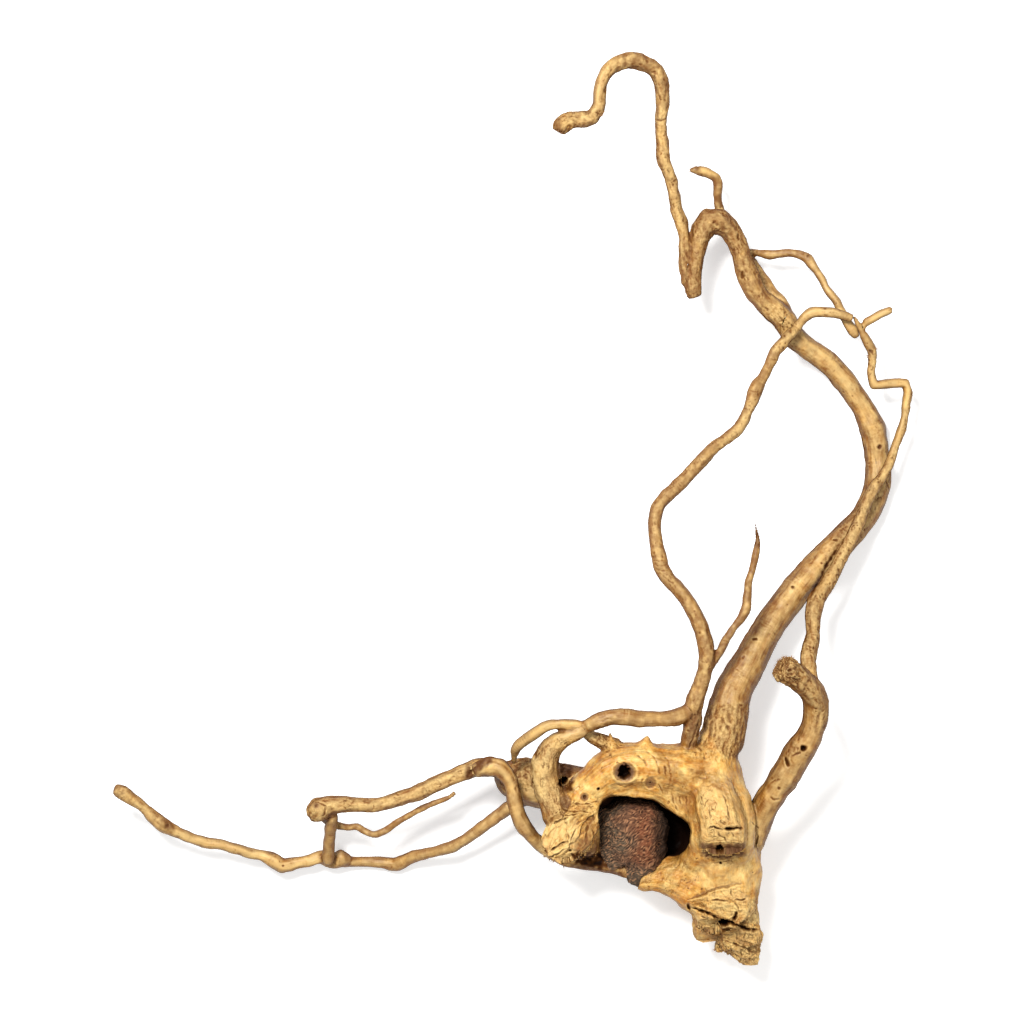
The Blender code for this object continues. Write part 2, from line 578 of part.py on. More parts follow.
def make_upper_left_branch():
    branch = make_branch("upper_left_branch", UPPER_LEFT_BRANCH, SIDES_MEDIUM, BRANCH_TAN,
                         [CURL_LIP])
    cut_by_swollen_route(branch, LEFT_ROOT, SIDES_THICK)
    return branch


def make_loop_branch(inner_stump):
    branch = make_branch("loop_branch", LOOP_BRANCH, SIDES_MEDIUM, TWIG_GOLD)
    cut_and_discard(branch, swollen_copy(inner_stump, GAP_TO_UNEVEN))
    return branch


def make_low_branch():
    branch = make_branch("low_branch", LOW_BRANCH, SIDES_MEDIUM, BRANCH_TAN, [LOW_NUB],
                         BROKEN_END)
    cut_by_swollen_route(branch, LEFT_ROOT, SIDES_THICK)
    return branch


def make_cross_link(upper, lower):
    link = make_branch("cross_link", CROSS_LINK, SIDES_THIN, BRANCH_TAN)
    cut_and_discard(link, swollen_copy(upper, GAP))
    cut_and_discard(link, swollen_copy(lower, GAP))
    return link


def make_thin_back_twig(upper):
    twig = make_branch("thin_back_twig", THIN_BACK_TWIG, SIDES_THIN, TWIG_GOLD)
    cut_and_discard(twig, swollen_copy(upper, GAP))
    return twig


def make_bridge_stub():
    return make_branch("bridge_stub", BRIDGE_STUB, SIDES_THIN, SHADED_BROWN)


def fit_to_crown(pieces, crown):
    """Cuts every piece that grows out of the crown, leaving the gap to it."""
    for piece in pieces:
        cut_and_discard(piece, swollen_copy(crown, GAP_TO_UNEVEN))


def keep_within(piece, name, low, high):
    """Copy of a piece, cut off outside the box between two corners."""
    part = piece.copy()
    part.data = piece.data.copy()
    part.name = name
    bpy.context.collection.objects.link(part)
    shape = bmesh.new()
    bmesh.ops.create_cube(shape, size=1.0)
    low, high = Vector(low), Vector(high)
    bmesh.ops.scale(shape, verts=shape.verts, vec=high - low)
    bmesh.ops.translate(shape, verts=shape.verts, vec=(low + high) / 2.0)
    box = new_object("fork_box", shape)
    combine(part, box, 'INTERSECT')
    bpy.data.objects.remove(box, do_unlink=True)
    return part


def part_crown(whole):
    """Parts the crown at its forks into the crown proper, the shoulder and the foot."""
    half = GAP / 2.0
    whole.name = "whole_crown"
    crown = keep_within(whole, "crown", (-1.0, FOOT_FRONT + half, -1.0),
                        (SHOULDER_SIDE - half, 1.0, 1.0))
    shoulder = keep_within(whole, "shoulder", (SHOULDER_SIDE + half, FOOT_FRONT + half, -1.0),
                           (1.0, 1.0, 1.0))
    foot = keep_within(whole, "foot", (-1.0, -1.0, -1.0), (1.0, FOOT_FRONT - half, 1.0))
    bpy.data.objects.remove(whole, do_unlink=True)
    for part in (shoulder, foot):
        part.data.materials.clear()
        part.data.materials.append(make_wood(part.name + "_wood", CROWN_GOLD, 0.60))
    return [crown, shoulder, foot]


def smooth_shading(thing):
    for face in thing.data.polygons:
        face.use_smooth = True
    thing.data.set_sharp_from_angle(angle=math.radians(50.0))


def build_root():
    clear_scene()
    crown = make_crown()
    inner_stump = make_inner_stump(crown)
    main_stem = make_main_stem()
    stub_arm = make_stub_arm()
    long_runner = make_long_runner()
    left_arm = make_left_arm()
    left_root = make_left_root()
    loop_branch = make_loop_branch(inner_stump)
    bridge_stub = make_bridge_stub()
    fit_to_crown([main_stem, stub_arm, long_runner, left_arm, left_root, loop_branch,
                  bridge_stub], crown)
    upper_left_branch = make_upper_left_branch()
    low_branch = make_low_branch()
    pieces = part_crown(crown) + [
        inner_stump, main_stem, stub_arm, long_runner, left_arm, left_root, loop_branch,
        bridge_stub, upper_left_branch, low_branch, make_upper_arch(), make_hook_branch(),
        make_back_strand(), make_outer_twig(), make_spike_twig(), make_crooked_twig(),
        make_twig_spur(), make_hoop(), make_hoop_tip(),
        make_cross_link(upper_left_branch, low_branch), make_thin_back_twig(upper_left_branch)]
    for piece in pieces:
        smooth_shading(piece)


build_root()
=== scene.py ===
"""Red moor root for a fish tank, laid flat on a pale table and seen from straight above.

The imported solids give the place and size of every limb. Each limb is drawn again along the
same route, the limbs are grown together into one skin, and the skin is then shaped the way
water and rot shape a root: lengthwise grooves, rotted knots, cracks and torn ends. The skin
is parted at the forks, so that each part stands for its own solid.
"""

import math
import random

import bmesh
import bpy
import numpy as np
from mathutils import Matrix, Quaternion, Vector, noise


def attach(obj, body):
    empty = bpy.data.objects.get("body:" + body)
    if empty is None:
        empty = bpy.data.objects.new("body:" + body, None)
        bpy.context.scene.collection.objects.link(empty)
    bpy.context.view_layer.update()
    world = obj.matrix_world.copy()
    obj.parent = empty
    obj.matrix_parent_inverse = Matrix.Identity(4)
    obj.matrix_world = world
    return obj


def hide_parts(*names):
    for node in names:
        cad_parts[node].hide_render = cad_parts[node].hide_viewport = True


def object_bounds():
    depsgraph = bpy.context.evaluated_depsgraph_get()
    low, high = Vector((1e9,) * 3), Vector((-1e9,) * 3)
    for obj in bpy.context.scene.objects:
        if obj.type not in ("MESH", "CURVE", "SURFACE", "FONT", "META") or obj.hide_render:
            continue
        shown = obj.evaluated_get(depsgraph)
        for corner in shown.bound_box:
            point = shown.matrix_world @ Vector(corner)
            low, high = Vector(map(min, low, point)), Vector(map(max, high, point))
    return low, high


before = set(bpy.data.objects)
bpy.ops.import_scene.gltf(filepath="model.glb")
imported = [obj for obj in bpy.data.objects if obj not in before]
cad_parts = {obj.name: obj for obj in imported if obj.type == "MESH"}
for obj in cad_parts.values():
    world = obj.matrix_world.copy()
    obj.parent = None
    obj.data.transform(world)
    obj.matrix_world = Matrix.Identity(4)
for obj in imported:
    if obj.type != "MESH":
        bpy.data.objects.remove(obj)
cad_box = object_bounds()

MM = 0.001
# The same torn chips in every run
noise.seed_set(12)

# Sheet that the routes are read on: size of a grid square in metres, the middle of the grid in
# squares, heights of the eye and of the sheet above the table, and where the middle lies
SQUARE = 0.00065
GRID_MIDDLE = 512.0
EYE_HEIGHT = 1.909
SHEET_HEIGHT = 0.060
MIDDLE_ACROSS = 0.00145
MIDDLE_UP = 0.00014

# In metres: mesh steps of the skin and of the crown under it, thickness that the curves are
# drawn with, and how far limbs melt into each other
SKIN_STEP = 0.00084
CROWN_STEP = 0.0013
STROKE = 0.01
MELT = 0.0012
# How far an end stands out, in half thicknesses
ROUND_END = 0.45
BROKEN_END = 0.12
# Side in grid squares of the cells in which the topmost wood is found
CELL = 2.0

# Table, camera and lights: metres, the camera's in mm, and each light's spot, size and power
TABLE_SIZE = 8.0
SENSOR = 36.0
ROOM_LIGHT = 0.42
SOFT_LIGHTS = {"key_box": ((-0.42, 0.62, 1.5), 0.42, 36.0),
               "fill_box": ((0.9, -0.7, 1.6), 1.0, 7.0)}

# Every spot of a route: across, down, height above the table in mm, half thickness.
# Across, down and half thickness are counted in grid squares.
LIMBS = {
    "main_stem": [
        (713, 757, 47, 23), (721, 738, 46.5, 22.5), (727, 718, 44.5, 21.3),
        (733, 692, 41, 18.8), (749.5, 662, 36, 17.2), (761, 640, 32, 15.6),
        (773.5, 620, 28, 15.3), (788.5, 600, 24.5, 15), (805, 578.5, 21, 14.8),
        (825, 558, 17.5, 14.4), (844, 539, 14.5, 14.4), (863, 518.5, 11.5, 13.4),
        (873, 500, 9.8, 13), (878, 480, 8.8, 13.2), (877.5, 460, 8.2, 12.3),
        (873, 430, 10, 12.6), (864, 410, 12, 11), (858, 400, 13, 10.8),
        (844, 380, 15.5, 11.2), (826, 361, 18.5, 11.2), (808, 348.5, 21, 10.5),
        (794, 337, 24, 11.6), (784.5, 320, 27, 12.4)],
    "upper_arch": [
        (790, 328, 26, 11.5), (778, 314, 28, 12), (763, 301, 29, 10.4), (754, 290, 30, 10.6),
        (749, 278, 30.5, 11), (744.5, 266, 31, 10.3), (740, 251, 32, 9.6),
        (735.5, 240, 33, 10), (729, 230, 34, 10.6), (719.5, 222, 36, 13),
        (709, 222, 36.5, 13.3), (701.5, 232, 37, 11.3), (698, 245, 37, 9.2),
        (695, 259, 37, 8.4), (692.5, 275, 36, 8.8), (693, 289, 35, 8.8),
        (695.5, 296, 34.5, 6.4)],
    "hook_branch": [
        (687, 284, 34.5, 6), (685.5, 268, 36, 6.6), (684.5, 250, 38, 6), (684, 236, 39, 5.6),
        (680.5, 220, 40, 6.3), (676, 208, 41, 5.8), (674, 195, 43, 5.6), (671.5, 181, 44, 5.8),
        (667, 170, 46, 6.2), (663, 159, 47, 6.6), (662.5, 145, 48, 6.4), (661, 130, 50, 5.9),
        (661, 119, 51, 5.6), (662.5, 106, 52, 6.4), (662.5, 92, 53, 7.1), (660, 80, 55, 7.6),
        (654, 69, 57, 7.6), (642, 62.5, 59, 8), (630, 60, 60, 8.3), (619, 63, 61, 7.8),
        (608.5, 70, 62, 7), (602, 81, 62, 6.3), (599.5, 95, 61, 6.3), (598, 107, 59.5, 6.6),
        (591.5, 117.5, 58, 7.8), (580, 119.5, 58, 8.2), (570, 120.5, 59, 8.5),
        (562, 125, 60, 8.4), (560, 130.5, 60, 7.2)],
    "back_strand": [
        (788, 316, 24, 7), (781, 303, 20, 6.5), (772, 293.5, 17.5, 6), (765.5, 283.5, 16.5, 6),
        (758.5, 273, 16.5, 6), (750, 261, 17, 6), (740, 246, 18, 5.5), (729, 228, 20, 5),
        (720, 210, 22, 4.4), (717.5, 198, 23.5, 4.2), (718, 187, 25, 4.4),
        (716.5, 178.5, 26, 4.6), (709, 173.5, 27.5, 4.6), (700, 170.6, 29, 5),
        (694.5, 170.4, 30, 3.2), (690.5, 170.5, 30.5, 1.3)],
    "outer_twig": [
        (745, 252, 18, 3.4), (752, 252.3, 19, 3.8), (761, 253, 21, 3.5), (770, 254.6, 22.5, 4.9),
        (780, 253.6, 24, 4.1), (790, 253, 25.5, 4), (800, 255, 27, 4.6), (808, 259, 28.5, 5.2),
        (815, 269, 30, 4.2), (822, 279, 31, 3.8), (827.5, 290, 32, 3.8), (836, 300, 33, 4.2),
        (841, 311, 33, 4.2), (847, 322, 33, 4.4), (853, 331, 33, 5), (856, 335.5, 33, 3.2)],
    "long_runner": [
        (686, 756, 55, 9.5), (690, 737, 60, 8.4), (692.5, 720, 63, 9.3), (694, 704, 65, 9.4),
        (699, 690, 66, 8.4), (703, 679, 67, 7.9), (706, 665, 68, 8.2), (706.5, 650, 68, 8.2),
        (701.5, 630, 68, 7.8), (695.5, 615, 68, 7.7), (687, 600.5, 67, 7.3),
        (678.5, 590, 66, 7.1), (668.5, 579, 65, 7.1), (661.5, 568, 64, 7.6),
        (658.5, 556, 63, 7.4), (656, 540, 62, 6.4), (654.5, 523, 60, 6.3), (657.5, 508, 58, 6.6),
        (665.5, 497, 56.5, 6.6), (681.5, 482, 55, 6.5), (701.5, 460.5, 53, 6.6),
        (716, 446, 51, 6), (735, 432, 49.5, 6.1), (743.5, 420, 48, 5.8), (748.5, 409, 47, 5.4),
        (753, 398, 46, 6.6), (756.5, 387, 45, 6.8), (764, 376, 44, 5), (771, 361, 42.5, 5.5),
        (776, 350.5, 41.5, 5.6), (785.5, 340, 40, 5.5), (795, 329.5, 38.5, 4.6),
        (802, 320.5, 38.5, 4.3), (811, 313.3, 39, 5.2), (821, 312, 39.5, 5),
        (832, 312.5, 40.5, 5.1), (842, 315, 41, 4.5), (850.5, 318, 41, 4)],
    "spike_twig": [
        (709, 669, 67, 4.6), (716, 657, 66.5, 4.4), (721, 649, 66, 4), (727, 638, 65.5, 4),
        (733, 629, 65, 3.5), (741, 618.5, 64.5, 4.3), (746, 608.5, 64, 5),
        (747.5, 596, 63.5, 4.1), (748.5, 583, 63, 3.7), (752, 571, 62.5, 3.2),
        (755, 559, 62, 3.5), (757, 549, 61.5, 3.5), (757.6, 540, 61, 2.4),
        (756.3, 531, 60.5, 1.4), (755, 522, 60, 0.8)],
    "stub_arm": [
        (752, 848, 42, 10), (755, 831, 46, 13.3), (761, 815, 50, 13.6), (768, 801, 53, 13.8),
        (776, 789, 56, 13.4), (783, 779, 58.5, 14.4), (790, 768, 61, 14.6), (796, 757, 63, 14.8),
        (801, 748, 65, 14.4), (808, 738, 67, 12.8), (812.5, 728, 69, 12.2),
        (815.5, 716, 71, 12.7), (816, 703, 74, 12.9), (812.5, 692, 78, 13),
        (804.5, 683, 82, 12.4), (795, 676, 86, 12.4), (783.5, 667.5, 91, 13)],
    "hoop": [
        (698, 703, 64, 6.5), (690, 711, 65, 8.4), (680, 716, 66.5, 8.6), (668, 718.5, 68, 8),
        (655, 719, 69.5, 7.7), (640, 719, 71, 8), (625, 717, 72, 8.3), (610, 717.5, 72, 8.1),
        (598, 721, 71.5, 7.8), (588, 726, 70.5, 8)],
    "hoop_tip": [
        (589, 726, 70, 5.4), (575, 724.5, 70.5, 5.4), (562, 724.3, 70, 5.3), (550, 725, 69, 5.2),
        (540, 730, 67, 5.8), (530, 736.5, 64, 5.6), (521, 743, 60.5, 5.4),
        (515.5, 750, 56.5, 4.6), (514, 757, 53, 3), (514, 762, 50.5, 1.8)],
    "left_arm": [
        (568, 832, 58, 17), (562, 820, 58.5, 18), (556, 806, 59, 16), (549, 790, 60, 14.5),
        (545, 775, 61, 14), (545, 762, 63, 13.4), (550, 750, 65, 11.5), (560, 740, 67, 9.6),
        (573, 734, 69, 8), (584, 729.5, 70, 7.2)],
    "left_root": [
        (606, 788, 42, 18), (580, 788, 36, 21), (556, 786, 31, 23.5), (533, 783, 28, 24.5),
        (517, 779, 27.5, 22), (506, 775, 29, 16), (500, 773, 31, 10)],
    "upper_left_branch": [
        (509, 772, 32, 9.5), (492, 768, 35, 9.6), (478, 767.5, 37, 9), (465, 772, 39, 8.5),
        (450, 778, 40, 8), (435, 784.5, 41, 8), (420, 791.5, 41.5, 8), (400, 798.5, 42, 7.4),
        (380, 804.5, 42, 6.9), (360, 805, 41, 7), (345, 804.5, 40.5, 7.8), (331, 805.5, 40, 9.6),
        (319, 810, 40, 11.5), (311.5, 814, 39.5, 8)],
    "loop_branch": [
        (477, 770, 50.5, 7.2), (488, 766.5, 51.5, 9.3), (499, 767.5, 52.5, 9.4),
        (508, 777, 53, 8.2), (512.5, 789, 53, 7.2), (514.5, 801, 53, 7.7), (518, 814, 53, 7.6),
        (524, 826, 51, 7.8), (534, 838, 46, 7), (547, 849.5, 40, 7), (562, 857, 36, 7.5),
        (580, 861, 35, 8), (600, 863, 35, 8.6), (616, 866.5, 36, 8), (628, 873, 37, 6.5)],
    "low_branch": [
        (526, 797, 29, 9), (508, 808, 29, 6.8), (495, 817.5, 27.5, 6.2), (480, 828.5, 25, 6),
        (465, 839.5, 22, 5.8), (450, 847.5, 19, 5.8), (435, 851.5, 16, 5.2), (420, 855, 12, 5.5),
        (408, 859, 8, 6.2), (396, 864.5, 4.6, 6.7), (385, 863, 4.2, 5.8), (370, 862, 4.4, 5),
        (350, 861.5, 6.5, 5.3), (341, 858.5, 9, 8.6), (331, 861.5, 9.5, 6.6),
        (321, 857, 11, 6.6), (308, 861, 12, 6.2),
        (297, 862.5, 12, 5.8), (283, 865.5, 12, 7.5), (272, 859.5, 13, 7.4), (262, 855.5, 14, 5.4),
        (250, 853, 15, 5.1), (235, 848.5, 17, 5.2), (220, 844.5, 18, 5.2), (205, 842.5, 19, 5.4),
        (190, 837.5, 21, 5.2), (175, 831, 23, 5.7), (164, 825.5, 25, 7.2), (153, 816.5, 27, 6.6),
        (143, 807, 30, 5.2), (133, 800, 32, 6), (123, 793, 34, 7.2), (116, 789, 36, 5)],
    "cross_link": [
        (331.5, 807, 39, 6.6), (331.3, 818, 35, 6.3), (330.5, 829, 30, 6), (329, 841, 24.5, 5.7),
        (328.3, 851, 20, 6), (328.5, 860, 16, 6)],
    "thin_back_twig": [
        (320, 815, 33, 3.4), (328, 822, 24, 3.4), (337, 825.5, 23.5, 3.5), (347, 827.3, 25, 3.2),
        (357, 827, 26.5, 3.3), (365, 831.5, 27.5, 3.2), (373, 834.5, 28.5, 3.4),
        (382, 832, 30, 3.4), (392, 826, 31, 3.2), (402, 819.5, 32, 3.2), (415, 812, 33, 2.9),
        (428, 805.5, 34, 2.9), (440, 801, 35, 2.5), (449, 797.3, 36, 2.1), (454, 793.5, 36.5, 1.6)],
    "bridge_stub": [
        (624, 754, 52, 9), (612, 746, 56, 8.5), (601, 741, 59, 7.4), (591, 736.5, 60.5, 6),
        (586, 734, 61, 4.4)],
}

# Twig that crosses the main stem without growing into it, and its spur
FREE_TWIGS = {
    "crooked_twig": [
        (813.5, 702, 64, 8), (811, 684, 59, 8), (808.5, 667, 54.5, 7.8), (808.5, 655, 51, 8.2),
        (812, 641, 47, 7.5), (813.3, 628, 43, 7.2), (813.5, 614, 39.5, 8.5), (817, 600, 36, 8.6),
        (825, 587.5, 33.5, 7.6), (833, 574, 31.5, 6.8), (840, 560, 30.5, 6.3), (846, 548, 30, 6.3),
        (854, 533, 29.5, 6.2), (861, 517, 28, 6.2), (867, 501, 26.5, 6), (874, 488, 25.5, 5.6),
        (882, 477, 24, 4.9), (888, 467, 23, 4.5), (893, 453, 21.5, 4.3), (897.5, 440, 22, 4),
        (902, 429, 22, 4.5), (904.8, 416, 22.5, 3.8), (906.5, 402, 23, 4.3), (908, 392.5, 24, 4.7),
        (905, 384, 25, 4.9), (896, 383, 26, 4.7), (884, 384.3, 27, 4.4), (874.5, 384.3, 28, 4.5),
        (871, 374, 29, 4), (872, 361, 30, 4.1), (871.5, 350, 31.5, 4.7), (867, 341, 33, 4.1),
        (862, 331, 35.5, 3.8), (857.5, 323, 37.5, 2.6), (854.5, 318, 38.5, 1.6)],
    "twig_spur": [
        (862, 329, 36, 3), (866, 323, 36.5, 4), (874, 318, 37.5, 4), (883, 313, 38.5, 4),
        (890, 310, 39, 3.6)],
}

# Limbs that grow together into the knotted crown
CROWN_LIMBS = {
    "right_mass": [
        (706, 750, 46, 26), (710, 766, 46, 28.5), (713, 785, 46, 31), (715, 805, 44, 32),
        (719, 830, 40, 36), (722, 855, 36, 38.5), (723, 880, 35, 37), (723, 902, 36, 33)],
    "back_mass": [(700, 772, 24, 29), (712, 800, 20.5, 34), (714, 840, 20, 34.5),
                  (712, 870, 21, 30)],
    "hollow_back": [
        (608, 804, 27, 25), (632, 823, 20, 34), (648, 841, 19, 36), (662, 857, 21, 31),
        (678, 872, 25, 25)],
    "hollow_roof_back": [(622, 800, 25, 24), (655, 802, 23, 28), (690, 808, 22, 30)],
    "under_band": [(614, 781, 34, 17), (640, 779, 32, 22), (668, 782, 30, 24),
                   (696, 786, 29, 26)],
    "hood": [(598, 795, 55, 14), (620, 786, 55, 14), (648, 786, 54, 15), (668, 792, 52, 20),
             (684, 804, 48, 22)],
    "upper_band": [
        (572, 812, 54, 19), (579, 797, 55, 18), (594, 783, 56, 18.5), (614, 769, 57, 22),
        (637, 765, 57, 22.5), (661, 768, 55, 24), (688, 772, 51, 30)],
    "bottom_band": [
        (702, 890, 38, 26), (685, 880, 39, 23), (668, 878, 39, 17.5), (652, 878.5, 39, 12.5),
        (638, 879.5, 39, 10), (630, 880, 39, 8)],
    "flank": [(724, 880, 36, 36), (724, 896, 36, 34)],
    "left_thorn": [(614, 750, 60, 7), (611, 738, 62, 4.2), (608.5, 729.5, 62, 1.6)],
    "lobe_flank": [(594, 806, 50, 8), (592, 822, 48, 10), (590, 838, 46, 10.5),
                   (589, 850, 42, 8)],
    "slab": [(574, 848, 42, 8), (590, 851, 39, 7), (603, 852, 37, 5.5)],
    "right_thorn": [(645, 748, 60, 7), (646.5, 739.5, 61, 4), (648.5, 733.5, 61, 1.6)],
    "pale_nub": [(686, 756, 56, 6), (684.5, 748, 59, 4.4)],
    "stub_skirt": [(700, 784, 52, 14), (701, 800, 58, 15), (702, 820, 61, 15.5),
                   (703, 840, 60, 15.5), (706, 853, 55, 14)],
    "stub_flank": [(722, 786, 50, 14), (735, 800, 56, 15), (739, 820, 59, 15.5),
                   (739, 840, 58, 15), (737, 852, 53, 14)],
    "stub_toe": [(703, 851, 55, 13), (722, 854, 56, 14), (740, 851, 54, 13)],
    "toe_ramp": [(722, 852, 56, 16), (722, 866, 51, 19), (723, 882, 45, 20)],
    "left_ramp": [(703, 848, 55, 13), (694, 861, 48, 14), (686, 872, 41, 14)],
    "right_ramp": [(740, 846, 54, 13), (746, 860, 47, 14), (748, 876, 40, 14)],
}

# Broken limbs of the crown, which keep their edges
CROWN_BLOCKS = {
    "left_lobe": [(592, 798, 56, 15), (584, 813, 58, 20), (573, 829, 60, 23.5),
                  (562, 844, 61, 23), (555, 853, 59, 17)],
    "front_stub": [(712, 786, 58, 21), (716, 803, 65, 24), (720, 818, 69, 25),
                   (722, 832, 70, 25), (722, 843, 67, 24)],
    "foot_top": [(723, 893, 37, 34), (727, 908, 37, 35), (735, 920, 37, 28)],
    "foot_middle": [(730, 912, 34, 28), (737.5, 930, 33, 23), (741, 944, 33, 21)],
    "foot_end": [(739, 930, 29, 21), (743, 944, 30, 19.5), (749, 957, 30, 12),
                 (752, 967, 29, 6)],
    "foot_left": [(712, 900, 33, 20), (708, 915, 33, 17), (707, 928, 33, 15),
                  (707, 938, 31, 12)],
    "foot_corner": [(732, 944, 28, 10), (729, 953, 28, 8.5)],
    "foot_right": [(744, 914, 36, 14), (753, 923, 36, 9)],
    "foot_spur": [(724, 944, 27, 7), (716, 950, 26, 4.5)],
}
INNER_STUMP = {
    "inner_stump": [(636, 812, 32, 29), (634, 826, 35, 36), (635, 842, 35, 33),
                    (640, 858, 35, 27), (641, 869, 36, 19), (633, 880, 36, 9.5)],
    "stump_side": [(610, 812, 36, 13), (609, 830, 38, 15), (610, 846, 37, 14),
                   (619, 862, 36, 13)],
}
CROWN = {**CROWN_LIMBS, **CROWN_BLOCKS}
ROUTES = {**CROWN, **LIMBS, **FREE_TWIGS, **INNER_STUMP}
BROKEN_LIMBS = ("upper_arch", "hook_branch", "stub_arm", "low_branch", "left_lobe",
                "front_stub", "foot_top", "foot_middle", "foot_end", "foot_left",
                "foot_corner", "foot_right", "foot_spur")

# Squares across and down between which the skin is drawn twice as fine
FINE_ZONES = [(540, 738, 766, 974), (768, 652, 800, 690)]

# Opening of the hollow: outline (across, down), and how far it spreads at each height in mm
HOLLOW_RIM = [
    (599, 806), (604, 799), (611, 795), (626, 796), (641, 797), (653, 800), (662, 806),
    (673, 812), (682, 817), (689, 823), (691, 831), (690, 841), (686, 851), (677, 854),
    (667, 855), (661, 860), (654, 867), (647, 872), (641, 879), (638, 886), (637, 893),
    (624, 893), (616, 882), (607, 866), (606, 857), (604, 847), (600, 838), (599, 828), (597, 818)]
HOLLOW_LEVELS = [(13, 0.86), (24, 1.0), (36, 1.06), (48, 1.0), (110, 1.0)]

# Where the crown forks into the shoulder, on its right, and the foot, in front: metres
SHOULDER_SIDE = 0.1035
FOOT_FRONT = -0.2475

# Rotted knots: across, down, half width and height of the hole, of the ring, depth in mm, grey
KNOTS = [
    (624.5, 772, 5.4, 6.2, 11.5, 9.8, 11, 0.95), (650.5, 782.5, 0.8, 0.9, 5.8, 6.2, 1.6, 0.45),
    (584.5, 797, 1.4, 1.6, 4.6, 4.6, 1.6, 0.6), (565.5, 802, 0, 0, 6, 8, 1.2, 0.35),
    (598.5, 789, 1.3, 1.2, 0, 0, 3, 0), (720, 849, 3.6, 3.4, 0, 0, 6, 0),
    (720.5, 863.3, 1.0, 1.0, 0, 0, 2, 0), (578, 859, 1.0, 1.0, 0, 0, 2, 0),
    (724, 923, 5.2, 3, 0, 0, 10, 0), (570, 850, 1.6, 1.2, 0, 0, 2, 0),
    (803.5, 748.5, 2.4, 2.2, 0, 0, 4, 0), (778.5, 789, 0.9, 1.6, 0, 0, 0.8, 0),
    (565.5, 779.5, 2.0, 2.4, 0, 0, 6, 0), (561.5, 782, 2.6, 5, 0, 0, 8, 0),
    (793, 587, 1.5, 1.2, 3, 2.6, 1.4, 0.2), (880, 447, 1.5, 1.5, 3.2, 3.2, 1.5, 0.3),
    (896, 480, 1.2, 3.4, 4.5, 6.5, 1.5, 0.5), (835, 540, 2.2, 0.8, 0, 0, 1.0, 0),
    (755, 639, 2.6, 0.9, 0, 0, 1.2, 0), (700, 633, 0.9, 0.9, 0, 0, 0.8, 0),
    (814, 648, 1.1, 1.1, 0, 0, 1.0, 0), (797, 657, 1.3, 1.6, 3.0, 3.0, 1.0, 0.3),
    (870, 351, 1.2, 1.2, 2.6, 2.6, 0.9, 0.3), (808, 256, 1.0, 1.0, 2.4, 2.4, 0.8, 0.3),
    (714, 222, 1.2, 1.2, 0, 0, 1.0, 0), (738.5, 237, 1.4, 3.0, 0, 0, 1.2, 0),
    (742, 275, 1.4, 4.2, 0, 0, 1.2, 0), (784, 349, 1.0, 1.0, 3.2, 3.0, 0.8, 0.2),
    (790, 670, 1.8, 1.5, 6.5, 6.0, 1.6, 0.15), (168, 826, 1.4, 1.2, 3.6, 3.2, 1.2, 0.3),
    (283, 866, 0.9, 0.9, 0, 0, 0.7, 0),
    (316, 806, 1.2, 1.0, 4.5, 4.0, 0.9, 0.3), (822, 563, 0.9, 0.9, 0, 0, 0.8, 0),
    (766, 668, 1.0, 0.8, 0, 0, 0.7, 0), (741, 705, 1.0, 0.8, 0, 0, 0.7, 0)]

# Torn limbs: how far from the end in mm, size of the plates, and the relief in mm of plates,
# strands and splits
TORN_LIMBS = {
    "left_lobe": (36, 1.5, 1.1, 0.4, 0.12), "front_stub": (22, 1.1, 0.25, 0.15, 0.2),
    "foot_top": (48, 1.0, 0.45, 0.35, 0.08), "foot_middle": (60, 0.6, 0.8, 0.9, 0.2),
    "foot_end": (60, 0.6, 0.8, 0.9, 0.2), "foot_left": (40, 1.4, 0.12, 0.1, 0.04),
    "foot_corner": (40, 0.6, 0.8, 0.9, 0.2), "foot_right": (40, 0.8, 0.45, 0.45, 0.1),
    "upper_left_branch": (8, 0.8, 1.0, 0.3, 0.3),
    "foot_spur": (30, 1.0, 0.5, 0.3, 0.5), "stub_arm": (14, 0.8, 1.0, 0.8, 0.9),
    "hook_branch": (11, 1.0, 0.6, 0.35, 0.4), "low_branch": (8, 1.0, 0.4, 0.2, 0.3),
    "upper_arch": (5, 1.0, 0.3, 0.2, 0.3)}

# Faces broken flat: outline on the sheet, a spot of the face with its height in mm, and the
# way that the face looks, right, up the sheet and away from the table
FLAT_FACES = [
    ([(697, 778), (716, 775), (738, 787), (752, 808), (754, 846), (722, 852), (690, 848),
      (690, 812)], (720, 842, 79.5), (0.05, -0.36, 0.93)),
    ([(560, 806), (590, 806), (600, 824), (594, 850), (572, 862), (566, 838)],
     (580, 832, 69.5), (0.30, -0.10, 0.95)),
    ([(530, 836), (560, 814), (576, 836), (572, 866), (548, 876), (532, 866)],
     (557, 842, 68.0), (-0.42, 0.05, 0.90)),
    ([(530, 850), (560, 846), (592, 846), (596, 880), (540, 886)],
     (562, 856, 66.0), (0.10, -0.72, 0.69)),
    ([(692, 920), (721, 922), (720, 950), (692, 950)], (707, 929, 41.5), (0.0, -0.66, 0.75)),
    ([(697, 841), (747, 841), (749, 856), (697, 858)], (722, 846, 76.0), (0.0, -0.72, 0.69)),
    ([(722, 930), (770, 930), (770, 980), (722, 980)], (744, 948, 41.5), (0.10, -0.30, 0.95)),
    ([(686, 900), (745, 884), (772, 915), (762, 935), (690, 915)], (727, 905, 57.0),
     (0.06, -0.20, 0.98))]

